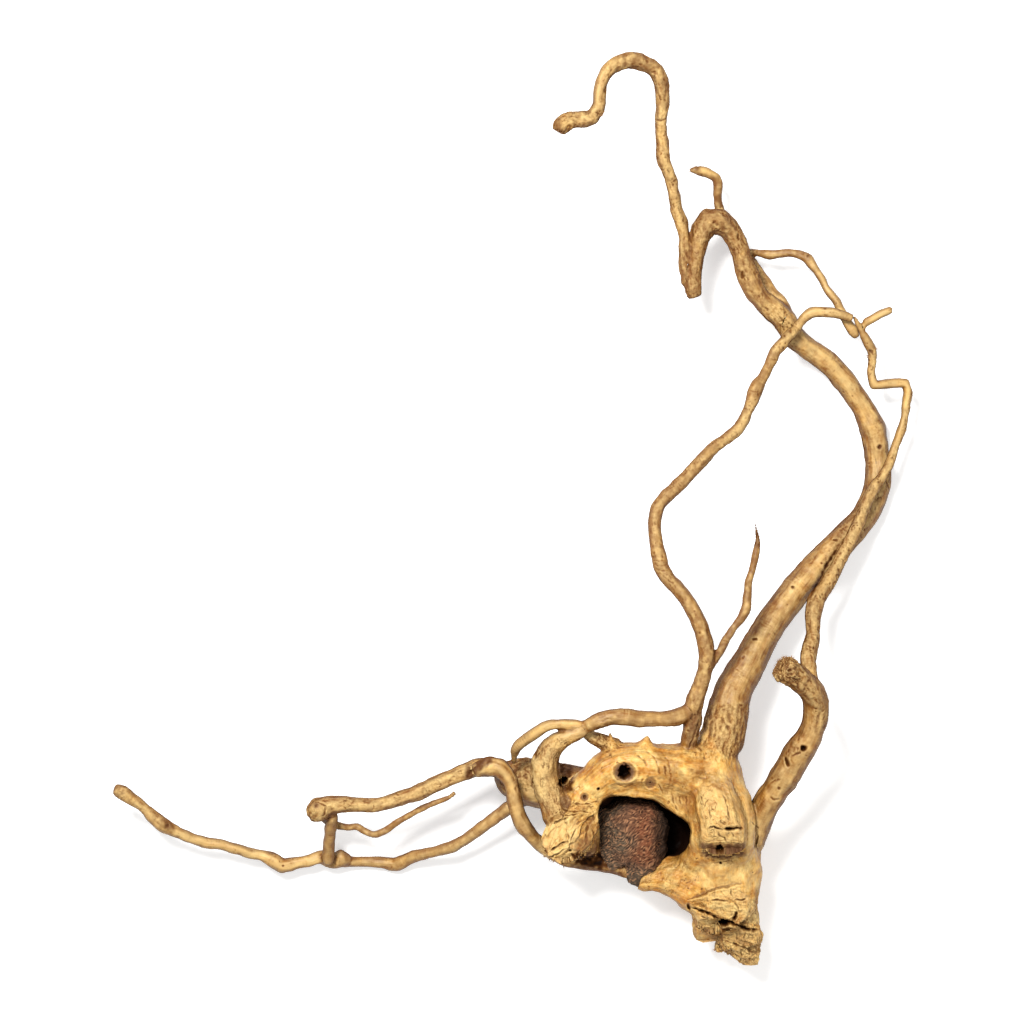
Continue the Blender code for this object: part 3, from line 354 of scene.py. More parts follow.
# Steps where wood has broken away on the right of the line: drop in mm, softness of the edge
# and reach in squares
STEPS = [
    (1.8, 5.0, 12.0, [(686, 777), (697, 774.5), (709, 778), (722, 787), (732, 798), (739, 811)]),
    (1.0, 1.2, 9.0, [(746, 841), (736, 844), (722, 845.5), (710, 844.5), (699, 841.5)]),
    (2.6, 0.9, 20.0, [(744, 884), (731, 886), (721, 887.5), (712, 890.5), (700, 896),
                      (686, 901.5)]),
    (2.4, 0.9, 10.0, [(761, 931), (745, 929), (733, 923), (717, 918), (704, 912), (689, 907.5)]),
    (2.0, 0.9, 8.0, [(762, 954), (752, 952), (744, 947), (735, 943.5), (720, 937)]),
    (2.2, 1.0, 9.0, [(573, 838), (569, 841.5), (560, 845), (549, 851)]),
    (1.2, 1.5, 7.0, [(596, 822), (587, 821), (577, 826), (573, 834)]),
    (1.6, 0.8, 7.0, [(721, 930), (712, 930.5), (703, 930), (693, 927)])]

# Patches of rough bark: outline, lie of the fibres in degrees, relief in mm, splits, brown
ROUGH_PATCHES = [
    ([(694, 704), (748, 704), (746, 740), (736, 760), (716, 762), (692, 757)], 97, 0.4, 0.0,
     0.3),
    ([(529, 752), (560, 736), (572, 742), (560, 800), (570, 826), (546, 812), (534, 790)], 80,
     0.3, 0.5, 0.15),
    ([(642, 500), (660, 480), (720, 430), (750, 400), (770, 350), (800, 316), (850, 308),
      (850, 322), (806, 330), (780, 366), (760, 410), (724, 450), (672, 500), (664, 540),
      (680, 590), (722, 640), (716, 700), (684, 704), (690, 640), (650, 570)], 60, 0.2, 0.4,
     0.25),
    ([(836, 536), (900, 440), (912, 380), (868, 376), (866, 340), (878, 340), (884, 376),
      (918, 376), (908, 450), (850, 560), (822, 612), (820, 706), (800, 700), (802, 610)], 70,
     0.3, 0.6, 0.35),
    ([(700, 784), (712, 784), (718, 812), (738, 815), (743, 842), (702, 842)], 35, 0.4, 0.6,
     0.3),
    ([(700, 842), (744, 841), (745, 854), (722, 858), (703, 855)], 90, 0.1, 0.5, 0.6),
    ([(703, 853), (738, 853), (736, 864), (706, 864)], 10, 0.2, 0.5, 0.35),
    ([(690, 902), (712, 892), (739, 886), (756, 903), (764, 922), (758, 931), (740, 927),
      (722, 920), (692, 910)], 15, 0.5, 0.25, 0.0),
    ([(686, 740), (704, 738), (702, 714), (692, 712)], 100, 0.4, 0.6, 0.9),
    ([(719, 924), (758, 931), (764, 945), (762, 956), (752, 974), (738, 972), (719, 956)], 25,
     0.5, 0.5, 0.6),
    ([(560, 800), (604, 800), (602, 818), (560, 820)], 5, 0.2, 0.25, 0.2),
    ([(584, 818), (599, 812), (598, 850), (584, 852)], 95, 0.2, 0.2, 0.5),
    ([(630, 882), (661, 862), (690, 858), (700, 878), (672, 896), (645, 892)], -52, 0.2, 0.35,
     0.3),
    ([(816, 690), (832, 690), (830, 730), (810, 730)], 95, 0.3, 0.6, 0.4),
    ([(786, 738), (802, 738), (800, 754), (786, 754)], 60, 0.2, 0.5, 0.6),
    ([(512, 752), (534, 752), (536, 790), (514, 792)], 80, 0.5, 0.5, 0.3),
    ([(664, 758), (694, 780), (694, 814), (664, 808)], 80, 0.12, 0.2, 0.3),
    ([(598, 724), (632, 738), (610, 756), (590, 742)], 30, 0.5, 0.8, 0.5),
    ([(548, 108), (596, 104), (608, 60), (640, 46), (674, 60), (674, 130), (700, 240),
      (700, 300), (678, 300), (650, 130), (656, 90), (630, 72), (612, 90), (606, 130),
      (548, 140)], 80, 0.3, 0.6, 0.35),
    ([(684, 240), (700, 200), (740, 206), (772, 290), (800, 330), (780, 340), (740, 280),
      (720, 240), (702, 300), (684, 300)], 65, 0.34, 0.5, 0.3),
    ([(304, 798), (330, 798), (380, 800), (380, 814), (326, 824), (306, 822)], 5, 0.3, 0.5,
     0.3),
    ([(380, 798), (470, 758), (474, 774), (384, 812)], -20, 0.25, 0.5, 0.2),
    ([(114, 784), (140, 800), (176, 822), (172, 834), (130, 808), (112, 796)], 40, 0.2, 0.15,
     0.3)]

# Tufts of torn fibre: across, down, reach in squares, way they point in degrees from the right
# towards the foot of the sheet, spread in degrees, count and length in mm
TUFTS = [
    (776, 664, 6, 205, 75, 44, 2.6), (784, 657, 5, 255, 60, 34, 2.4),
    (792, 661, 5, 285, 80, 26, 2.0), (777, 674, 5, 160, 50, 24, 2.4),
    (602, 114, 3, 15, 50, 16, 3.4), (558, 131, 5, 150, 80, 16, 1.6),
    (557, 124, 4, 210, 60, 14, 1.6), (552, 860, 4, 120, 60, 20, 2.6),
    (562, 864, 4, 95, 50, 18, 2.2), (546, 855, 4, 160, 50, 14, 2.0),
    (716, 950, 3, 165, 60, 16, 2.8), (760, 944, 3, 0, 70, 10, 1.6),
    (752, 965, 4, 60, 70, 12, 1.8), (836, 303, 4, 60, 70, 12, 2.6),
    (692, 169, 3, 190, 60, 10, 2.2), (875, 349, 3, -10, 60, 8, 2.4),
    (866, 357, 3, 200, 50, 8, 2.2), (599, 822, 3, 10, 40, 8, 1.4),
    (885, 483, 4, 20, 60, 6, 1.4), (890, 310, 3, -30, 60, 10, 1.6),
    (314, 822, 4, 120, 50, 8, 1.8), (310, 804, 4, 230, 50, 10, 1.8),
    (118, 788, 4, 230, 70, 12, 1.4), (455, 794, 3, -40, 50, 6, 1.4),
    (694, 290, 5, 100, 60, 10, 1.6), (610, 735, 3, 265, 40, 5, 1.6)]

# Stained or bare wood, and patches painted with shade or light: outline, and how brown, dark, grey
# and pale it is
STAINS = [
    ([(688, 769), (700, 768), (716, 776), (733, 790), (745, 811), (739, 814), (727, 798),
      (711, 784), (696, 779)], 0.85, 0.0, 0.0),
    ([(338, 815), (352, 822), (372, 832), (400, 815), (430, 795), (455, 786), (455, 801),
      (402, 828), (374, 843), (350, 834), (336, 828)], 1.0, 0.0, 0.0),
    ([(352, 855), (400, 856), (440, 840), (480, 810), (510, 796), (514, 812), (480, 834),
      (446, 856), (400, 872), (352, 868)], 0.28, 0.0, 0.0),
    ([(750, 516), (762, 516), (763, 545), (752, 548)], 1.0, 0.55, 0.3),
    # The next two are painted shade on the loop branch where it runs under the lobe and the stump
    ([(572, 854), (600, 852), (616, 858), (626, 869), (600, 869), (576, 864)], 1.0, 1.0, 0.0),
    ([(566, 864), (600, 868), (624, 872), (638, 884), (612, 880), (580, 874)], 1.0, 0.4, 0.4),
    ([(540, 828), (572, 816), (580, 826), (574, 860), (556, 868), (540, 860)], 0.0, 0.0, 0.0,
     0.6),
    ([(700, 784), (722, 788), (738, 808), (744, 842), (702, 842)], 0.0, 0.0, 0.0, 0.4),
    ([(694, 912), (718, 922), (718, 930), (696, 928)], 0.0, 0.0, 0.0, 0.5),
    ([(700, 898), (738, 886), (752, 900), (764, 924), (741, 922), (738, 906), (728, 898),
      (710, 901)], 0.0, 0.0, 0.0, 0.45),
    ([(726, 932), (764, 930), (764, 950), (756, 972), (738, 964)], 0.0, 0.0, 0.0, 0.35),
    ([(711, 176), (724, 176), (724, 212), (711, 210)], 1.0, 0.2, 0.0),
    ([(700, 540), (764, 520), (764, 600), (736, 650), (706, 676)], 1.0, 0.08, 0.0),
    ([(745, 246), (812, 246), (812, 262), (745, 262)], 0.9, 0.0, 0.0),
    ([(808, 254), (866, 300), (878, 350), (862, 350), (830, 300), (800, 262)], 0.5, 0.0, 0.0),
    # Painted shade on the front stub's broken end, which faces away from the light
    ([(700, 843), (722, 845), (745, 842), (746, 855), (722, 859), (701, 856)], 0.5, 0.36, 0.8),
    ([(712, 901), (728, 899), (737, 907), (734, 917), (720, 916), (709, 908)], 0.1, 0.0, 0.0, 0.4),
    ([(694, 930), (720, 932), (719, 943), (697, 943)], 0.0, 0.0, 0.3, 0.2),
    ([(512, 748), (534, 750), (536, 782), (514, 784)], 0.4, 0.0, 0.0),
    ([(694, 929), (720, 930), (719, 943), (697, 943)], 0.15, 0.0, 0.35),
    ([(620, 52), (652, 54), (664, 66), (650, 72), (622, 66)], 0.7, 0.12, 0.0),
    ([(661, 72), (672, 76), (672, 108), (663, 108)], 0.8, 0.15, 0.0),
    ([(570, 838), (605, 838), (605, 856), (575, 856)], 0.8, 0.1, 0.25),
    # Painted shade on the lobe's steep right flank
    ([(584, 820), (597, 820), (598, 846), (585, 846)], 0.75, 0.05, 0.0),
    ([(838, 536), (846, 541), (814, 602), (806, 596)], 0.5, 0.0, 0.0),
    ([(686, 754), (704, 738), (703, 716), (690, 712)], 0.9, 0.12, 0.2),
    ([(686, 166), (700, 164), (700, 176), (686, 176)], 0.9, 0.3, 0.0),
    ([(552, 120), (560, 116), (564, 134), (556, 140)], 0.9, 0.15, 0.0),
    ([(112, 784), (124, 784), (126, 796), (112, 797)], 0.4, 0.0, 0.2),
    ([(160, 820), (176, 820), (174, 832), (160, 830)], 0.8, 0.3, 0.0),
    # Painted shade in the gap beside the left arm
    ([(556, 758), (572, 760), (574, 792), (560, 792)], 1.0, 0.55, 0.0),
    ([(640, 500), (700, 420), (770, 350), (796, 356), (716, 450), (674, 520), (676, 570),
      (726, 640), (716, 706), (684, 706), (690, 640), (650, 580)], 0.75, 0.0, 0.0),
    ([(682, 200), (740, 200), (780, 300), (752, 312), (722, 262), (712, 300), (678, 300)], 0.75,
     0.0, 0.0),
    ([(700, 745), (745, 745), (800, 600), (760, 600), (712, 690)], 0.35, 0.0, 0.0),
    ([(784, 676), (834, 686), (828, 760), (792, 804), (770, 836), (750, 824), (788, 742),
      (808, 718), (782, 692)], 0.4, 0.0, 0.0),
    # The next two are painted light, paling wood on the left root and left arm that lies in shade
    ([(529, 757), (548, 757), (548, 802), (533, 802)], 0.0, 0.0, 0.0, 0.45),
    ([(536, 738), (562, 732), (566, 800), (545, 812)], 0.0, 0.0, 0.0, 0.16),
    ([(494, 756), (512, 756), (530, 800), (545, 850), (520, 840), (500, 790)], 0.45, 0.0, 0.0),
    # Painted light on the shoulder's flank
    ([(706, 758), (745, 778), (764, 830), (764, 884), (744, 892), (742, 812), (700, 770)], 0.0,
     0.0, 0.0, 0.3),
    ([(700, 862), (744, 862), (742, 884), (712, 892), (690, 880)], 0.0, 0.0, 0.0, 0.35),
    ([(463, 775), (469, 765), (479, 756), (491, 756), (492, 762), (480, 771), (470, 781)], 1.0,
     0.45, 0.45),
    ([(330, 843), (400, 850), (470, 812), (524, 788), (530, 800), (470, 840), (400, 876),
      (330, 872)], 0.6, 0.0, 0.0),
    ([(320, 815), (342, 815), (340, 862), (320, 862)], 0.5, 0.0, 0.0),
    ([(340, 815), (460, 788), (458, 802), (380, 842), (336, 832)], 0.45, 0.0, 0.0),
    ([(655, 750), (672, 758), (696, 790), (696, 826), (684, 812), (660, 794)], 0.6, 0.0, 0.0),
    ([(590, 712), (680, 708), (704, 700), (704, 742), (690, 744), (660, 730), (590, 730)], 0.7,
     0.0, 0.0)]

# Height in mm below which the hollow is painted dark as shade, at squares down the sheet
DARK_BELOW = [(795, 53), (830, 50), (856, 42), (884, 32)]

# Lie of the strands in the stump's bark, radians
STRAND_LIE = 0.6

# Cracks: half width, depth in mm, darkness of the painted shade in them, and the spots they run
# through
CRACKS = [
    (4.4, 1.2, 0.32, [(686, 771), (698, 772), (711, 777), (724, 787), (734, 799), (742, 815)]),
    (1.1, 3.0, 0.9, [(707, 828.5), (714, 826.5), (717, 828.5), (722, 829)]),
    (2.1, 4.5, 1.0, [(720, 829), (728, 829), (736, 828.5), (743, 828.5)]),
    (1.1, 1.1, 0.6, [(722, 792), (725, 799), (728, 808), (729, 816), (731, 822)]),
    (1.0, 1.0, 0.65, [(700, 795), (702, 800), (704, 806)]),
    (1.0, 1.0, 0.65, [(709, 797), (706, 803), (704, 808)]),
    (1.0, 0.9, 0.6, [(708, 808), (711, 818)]),
    (1.3, 0.8, 0.4, [(713, 809), (716, 811)]),
    (0.8, 1.2, 0.6, [(717, 831), (720, 836), (725, 838), (727, 843)]),
    (0.8, 1.0, 0.5, [(713, 830), (715, 836)]),
    (0.8, 0.9, 0.4, [(731, 831), (734, 837)]),
    (1.0, 1.2, 0.6, [(704, 858), (709, 854), (716, 856)]),
    (1.0, 1.2, 0.6, [(716, 860), (722, 853), (728, 858)]),
    (0.9, 1.0, 0.5, [(724, 853), (731, 856), (736, 853)]),
    (0.9, 0.8, 0.3, [(711, 863), (720, 863), (732, 860)]),
    (0.8, 1.0, 0.5, [(751, 821), (755, 825), (759, 829)]),
    (1.2, 1.6, 0.6, [(757.5, 831), (757.5, 839), (755.5, 845), (754, 850)]),
    (1.2, 2.0, 0.5, [(688, 900), (700, 896.5), (712, 890.5), (722, 887.5), (731, 886.5),
                     (739, 885)]),
    (1.0, 1.6, 0.7, [(710, 900.5), (716, 899.5), (723, 901), (729, 901)]),
    (1.0, 1.6, 0.7, [(734, 899.5), (741, 900), (747, 899)]),
    (0.8, 1.2, 0.5, [(731, 888), (731.5, 894), (733.5, 898.5)]),
    (1.6, 2.6, 0.9, [(688, 903), (690, 911)]),
    (1.6, 4.5, 1.0, [(691, 908), (698, 909.5), (704, 911.5), (711, 915), (717, 917.5),
                     (724, 920)]),
    (2.2, 6.0, 0.95, [(720, 921), (730, 922), (738, 925.5), (745, 929), (752, 930.5),
                     (759, 929.5)]),
    (1.4, 4.0, 0.9, [(737, 911), (735.5, 916), (734, 921)]),
    (1.0, 2.2, 0.7, [(700, 916), (706, 918.5), (712, 918.5)]),
    (0.8, 1.2, 0.4, [(734, 902), (738, 907), (739, 912)]),
    (1.5, 2.0, 0.6, [(722, 937), (727, 941.5), (733, 943), (739, 946), (746, 948),
                     (752, 952), (760, 953)]),
    (1.0, 1.2, 0.4, [(734, 931), (737, 936), (737, 942)]),
    (1.0, 1.2, 0.4, [(746, 931), (744, 938), (747, 945)]),
    (1.1, 1.4, 0.45, [(729, 946), (733, 953), (741, 959), (749, 960)]),
    (0.9, 1.6, 0.5, [(741, 950), (742, 957), (739, 963)]),
    (0.8, 1.2, 0.6, [(577, 828), (574, 833), (571.5, 838), (571, 843)]),
    (1.1, 2.4, 0.8, [(549, 851), (556, 847), (563, 843), (571, 840.5)]),
    (1.0, 1.8, 0.6, [(545, 857), (552, 856.5), (560, 853), (567, 848)]),
    (1.2, 2.2, 0.5, [(553, 824), (560, 820.5), (570, 817)]),
    (1.0, 1.0, 0.5, [(560, 808), (570, 811.5), (582, 811), (592, 813)]),
    (0.9, 0.9, 0.5, [(560, 814.5), (570, 815.5), (580, 813)]),
    (0.9, 0.9, 0.5, [(572, 803), (583, 804), (595, 804)]),
    (0.9, 0.8, 0.4, [(586, 801), (592, 802.5), (598, 801.5)]),
    (1.3, 1.0, 0.5, [(588, 822), (587, 833), (586, 846)]),
    (1.2, 1.0, 0.5, [(593, 829), (594, 842)]),
    (1.3, 0.7, 0.6, [(664, 764), (666, 770), (665, 777)]),
    (1.0, 0.7, 0.5, [(658, 783), (661, 788), (663, 795)]),
    (1.0, 0.7, 0.4, [(672, 793), (674, 803), (678, 812)]),
    (1.2, 0.7, 0.4, [(679, 796), (681, 806)]),
    (1.2, 0.7, 0.4, [(686, 795), (686.5, 806)]),
    (1.5, 0.4, 0.2, [(641, 787), (643, 779), (650, 775), (657, 777)]),
    (1.6, 0.4, 0.2, [(636, 754), (644, 760), (648, 768)]),
    (1.6, 0.4, 0.18, [(646, 750), (654, 757), (659, 768), (660, 780)]),
    (1.6, 0.4, 0.18, [(660, 750), (668, 760), (671, 776), (668, 792)]),
    (1.3, 0.5, 0.3, [(614, 784), (625, 787), (636, 784)]),
    (1.6, 3.0, 0.9, [(785.5, 757), (787, 762), (788.5, 767)]),
    (0.9, 1.4, 0.7, [(790, 757), (796, 754.5), (802, 751)]),
    (1.1, 1.2, 0.5, [(770, 797), (774, 800), (780, 799)]),
    (0.9, 0.8, 0.4, [(771, 783), (775, 780), (781, 780)]),
    (0.9, 1.6, 0.8, [(531, 788), (532.5, 780), (533, 777)]),
    (1.2, 1.0, 0.6, [(538, 744), (540, 750)]),
    (1.3, 1.2, 0.6, [(535.5, 750), (536, 759)]),
    (0.9, 0.8, 0.5, [(600, 722), (608, 719), (617, 719.5)]),
    (2.4, 1.6, 0.3, [(703, 714), (705, 724), (707, 735)]),
    (2.2, 1.4, 0.3, [(709, 712), (710.5, 722), (710, 733), (708, 741)]),
    (2.0, 1.2, 0.25, [(716, 720), (715, 730), (713.5, 741)]),
    (2.0, 1.0, 0.2, [(721, 716), (725, 724), (731, 731)]),
    (3.6, 1.8, 0.6, [(467, 777), (471, 773), (477, 766), (484, 760), (489, 759)]),
    (0.9, 0.8, 0.6, [(311, 806), (318, 802), (326, 806), (324, 815), (316, 818)]),
    (0.9, 0.8, 0.6, [(309, 811), (311, 820), (320, 825)]),
    (2.1, 0.9, 0.85, [(845, 537), (833, 555), (822, 574), (813, 590), (808, 601)]),
    (1.0, 1.2, 0.4, [(688, 751), (692, 741), (696, 729), (699, 719)]),
    (0.9, 0.8, 0.5, [(654, 119), (661, 121), (668, 118)]),
    (0.8, 0.6, 0.35, [(655, 124), (661, 126), (668, 124)]),
    (0.8, 0.6, 0.4, [(652, 560), (659, 561), (666, 560)]),
    (0.8, 0.6, 0.4, [(653, 564), (660, 566), (668, 565)]),
    (0.8, 0.5, 0.3, [(655, 569), (662, 571), (669, 570)]),
    (1.0, 0.6, 0.5, [(662, 574), (667, 579), (672, 583)]),
    (0.8, 0.5, 0.4, [(769, 358), (774, 360), (779, 359)]),
    (0.8, 0.5, 0.35, [(770, 364), (774, 366), (777, 365)]),
    (0.8, 0.5, 0.4, [(748, 390), (754, 392), (760, 391)]),
    (0.8, 0.5, 0.3, [(747, 398), (753, 400), (758, 399)]),
    (0.9, 0.7, 0.5, [(721, 640), (727, 641), (732, 642)]),
    (1.1, 1.2, 0.6, [(885, 479), (888, 485), (889, 491)]),
    (0.8, 0.5, 0.4, [(858, 463), (866, 464), (872, 462)]),
    (0.8, 0.6, 0.4, [(656, 168), (663, 170), (668, 168)]),
    (0.8, 0.6, 0.4, [(593, 110), (599, 114), (604, 114)]),
    (0.8, 0.5, 0.35, [(813, 285), (820, 287), (826, 284)]),
    (0.8, 0.5, 0.3, [(340, 853), (340, 861), (339, 869)]),
    (0.8, 0.5, 0.3, [(336, 853), (335.5, 861), (336, 869)]),
    (0.8, 0.5, 0.3, [(372, 800), (374, 806), (372, 811)]),
    (0.8, 0.5, 0.3, [(430, 782), (433, 788), (436, 791)]),
    (0.8, 0.5, 0.3, [(233, 845), (235, 850), (234, 854)])]


# Every part, in the order the skin is parted into them, with a finish slot name that nothing reads
SLOTS = {
    "crown": "crown_wood", "shoulder": "crown_wood", "foot": "crown_wood",
    "inner_stump": "bark", "main_stem": "stem_wood",
    "upper_arch": "stem_wood", "stub_arm": "stem_wood", "hook_branch": "branch_wood",
    "long_runner": "branch_wood", "spike_twig": "branch_wood", "hoop": "branch_wood",
    "left_arm": "branch_wood", "upper_left_branch": "branch_wood", "low_branch": "branch_wood",
    "cross_link": "branch_wood", "outer_twig": "twig_wood", "crooked_twig": "twig_wood",
    "twig_spur": "twig_wood", "hoop_tip": "twig_wood", "loop_branch": "twig_wood",
    "thin_back_twig": "twig_wood", "back_strand": "shaded_wood", "left_root": "shaded_wood",
    "bridge_stub": "shaded_wood",
}


def place(across, down, height):
    """Turns a spot on the grid and a height in mm into metres."""
    lift = height * MM
    shrink = (EYE_HEIGHT - lift) / (EYE_HEIGHT - SHEET_HEIGHT)
    return Vector(((across - GRID_MIDDLE) * SQUARE * shrink - MIDDLE_ACROSS,
                   (GRID_MIDDLE - down) * SQUARE * shrink - MIDDLE_UP, lift))


def length_of(squares, height):
    """Turns a length in grid squares, read at a height in mm, into metres."""
    return squares * SQUARE * (EYE_HEIGHT - height * MM) / (EYE_HEIGHT - SHEET_HEIGHT)


def grid_spots(points):
    """Grid squares across and down at which each point is seen from above."""
    shrink = (EYE_HEIGHT - points[:, 2]) / (EYE_HEIGHT - SHEET_HEIGHT) * SQUARE
    across = (points[:, 0] + MIDDLE_ACROSS) / shrink + GRID_MIDDLE
    down = GRID_MIDDLE - (points[:, 1] + MIDDLE_UP) / shrink
    return np.stack((across, down), axis=1)


def deselect_all():
    """Leaves nothing selected, not even the solids."""
    bpy.ops.object.select_all(action='DESELECT')


def work_on(piece):
    """Selects a piece alone and makes it the one that is worked on."""
    deselect_all()
    bpy.context.view_layer.objects.active = piece
    piece.select_set(True)


def finish_with(piece, kind, **settings):
    """Adds a modifier to a piece, sets it and applies it."""
    work_on(piece)
    change = piece.modifiers.new(kind.lower(), kind)
    for name, value in settings.items():
        setattr(change, name, value)
    bpy.ops.object.modifier_apply(modifier=change.name)


def join_pieces(pieces):
    """Joins pieces into the first of them, without merging their surfaces."""
    work_on(pieces[0])
    for piece in pieces[1:]:
        piece.select_set(True)
    bpy.ops.object.join()
    return bpy.context.object


def domed(points, radii, dome):
    """Adds two spots beyond the last, so that the limb ends rounded off."""
    aim = (points[-1] - points[-2]).normalized()
    last, thick = points[-1], radii[-1]
    points += [last + aim * thick * dome * 0.6, last + aim * thick * dome]
    radii += [thick * 0.78, thick * 0.25]


def draw_limb(name, route):
    """A round limb, drawn as a curve whose thickness follows its route."""
    points = [place(*spot[:3]) for spot in route]
    radii = [length_of(spot[3], spot[2]) for spot in route]
    domed(points, radii, BROKEN_END if name in BROKEN_LIMBS else ROUND_END)
    points.reverse()
    radii.reverse()
    domed(points, radii, ROUND_END)
    deselect_all()
    bpy.ops.curve.primitive_bezier_curve_add(location=(0.0, 0.0, 0.0))
    limb = bpy.context.object
    limb.name = name
    curve = limb.data
    curve.bevel_depth = STROKE
    curve.bevel_resolution = 4
    curve.resolution_u = 5
    curve.use_fill_caps = True
    spline = curve.splines[0]
    spline.radius_interpolation = 'CARDINAL'
    spline.bezier_points.add(len(points) - 2)
    handle = 'AUTO' if name in CROWN else 'VECTOR'
    for knot, point, radius in zip(spline.bezier_points, points, radii):
        knot.co, knot.radius = point, radius / STROKE
        knot.handle_left_type = knot.handle_right_type = handle
    bpy.ops.object.convert(target='MESH')
    return bpy.context.object


def hollow_cutter():
    """Space of the hollow: its outline, wider where rot has undercut the rim."""
    middle = np.mean(HOLLOW_RIM, axis=0)
    shape = bmesh.new()
    rings = []
    for height, spread in HOLLOW_LEVELS:
        outline = middle + (np.array(HOLLOW_RIM) - middle) * spread
        rings.append([shape.verts.new(place(*spot, height)) for spot in outline])
    for lower, upper in zip(rings, rings[1:]):
        for number, corner in enumerate(lower):
            following = (number + 1) % len(lower)
            shape.faces.new((corner, lower[following], upper[following], upper[number]))
    shape.faces.new(rings[0][::-1])
    shape.faces.new(rings[-1])
    bmesh.ops.recalc_face_normals(shape, faces=shape.faces)
    mesh = bpy.data.meshes.new("hollow_cutter")
    shape.to_mesh(mesh)
    shape.free()
    cutter = bpy.data.objects.new("hollow_cutter", mesh)
    bpy.context.collection.objects.link(cutter)
    return cutter


def rough_crown():
    """Crown melted together from its limbs, its broken blocks, and the hollow opened in it."""
    crown = join_pieces([draw_limb(*limb) for limb in CROWN_LIMBS.items()])
    finish_with(crown, 'REMESH', mode='VOXEL', voxel_size=CROWN_STEP)
    finish_with(crown, 'SMOOTH', factor=0.5, iterations=32)
    finish_with(crown, 'DISPLACE', direction='NORMAL', mid_level=0.0, strength=0.8 * MM)
    blocks = [draw_limb(*limb) for limb in CROWN_BLOCKS.items()]
    crown = join_pieces([crown] + blocks)
    finish_with(crown, 'REMESH', mode='VOXEL', voxel_size=CROWN_STEP)
    finish_with(crown, 'SMOOTH', factor=0.5, iterations=3)
    cutter = hollow_cutter()
    finish_with(crown, 'BOOLEAN', operation='DIFFERENCE', solver='EXACT', object=cutter)
    bpy.data.objects.remove(cutter, do_unlink=True)
    return crown


def grow_skin(name, pieces):
    """One closed skin round pieces that have grown together."""
    skin = join_pieces(pieces)
    skin.name = name
    finish_with(skin, 'REMESH', mode='VOXEL', voxel_size=SKIN_STEP)
    finish_with(skin, 'SMOOTH', factor=0.5, iterations=2)
    return skin


def uncovered(points, spots, depth):
    """Whether each point is within a depth of the topmost one in its cell of the grid."""
    cells = (spots / CELL).astype(int)
    cell = cells[:, 0] * 1000 + cells[:, 1]
    top = np.full(cell.max() + 1, -1.0)
    np.maximum.at(top, cell, points[:, 2])
    return points[:, 2] > top[cell] - depth


def score_forks(skin):
    """Cuts the mesh along the planes where the crown forks, leaving it whole."""
    shape = bmesh.new()
    shape.from_mesh(skin.data)
    for spot, across in (((SHOULDER_SIDE, 0.0, 0.0), (1.0, 0.0, 0.0)),
                         ((0.0, FOOT_FRONT, 0.0), (0.0, 1.0, 0.0))):
        whole = shape.verts[:] + shape.edges[:] + shape.faces[:]
        bmesh.ops.bisect_plane(shape, geom=whole, dist=0.08 * MM, plane_co=spot,
                               plane_no=across)
    shape.to_mesh(skin.data)
    shape.free()
    return skin


def refine_seen(skin):
    """Halves the mesh of the crown where it is seen from above, for its fine marks."""
    shape = bmesh.new()
    shape.from_mesh(skin.data)
    points = np.array([corner.co for corner in shape.verts])
    spots = grid_spots(points)
    inside = np.zeros(len(points), dtype=bool)
    for left, upper, right, lower in FINE_ZONES:
        inside |= np.all((spots > (left, upper)) & (spots < (right, lower)), axis=1)
    fine = (uncovered(points, spots, 6.0 * MM) & inside).tolist()
    edges = [edge for edge in shape.edges
             if fine[edge.verts[0].index] and fine[edge.verts[1].index]]
    bmesh.ops.subdivide_edges(shape, edges=edges, cuts=1, use_grid_fill=True)
    bmesh.ops.triangulate(shape, faces=shape.faces)
    shape.to_mesh(skin.data)
    shape.free()


def follow(route):
    """Close-set centres, half thicknesses and steady frames along a route."""
    knots = np.array([place(*spot[:3]) for spot in route])
    widths = np.array([length_of(spot[3], spot[2]) for spot in route])
    whole = np.column_stack((knots, widths))
    whole = np.vstack((2.0 * whole[0] - whole[1], whole, 2.0 * whole[-1] - whole[-2]))
    spots = []
    for before, start, end, after in zip(whole, whole[1:], whole[2:], whole[3:]):
        count = max(2, int(np.linalg.norm(end[:3] - start[:3]) / (1.5 * MM)))
        for t in np.arange(count)[:, None] / count:
            spots.append(0.5 * (2.0 * start + (end - before) * t
                                + (2.0 * before - 5.0 * start + 4.0 * end - after) * t ** 2
                                + (3.0 * start - before - 3.0 * end + after) * t ** 3))
    spots.append(whole[-2])
    spots = np.array(spots)
    centres = spots[:, :3]
    aims = np.gradient(centres, axis=0)
    aims /= np.linalg.norm(aims, axis=1)[:, None]
    ups = np.zeros_like(aims)
    up = np.array([0.0, 0.0, 1.0])
    for number, aim in enumerate(aims):
        up = up - aim * aim.dot(up)
        up /= np.linalg.norm(up)
        ups[number] = up
    steps = np.linalg.norm(np.diff(centres, axis=0), axis=1)
    return {"centres": centres, "thick": np.maximum(spots[:, 3], 0.3 * MM), "aims": aims,
            "ups": ups, "sides": np.cross(aims, ups),
            "run": np.concatenate(([0.0], np.cumsum(steps)))}


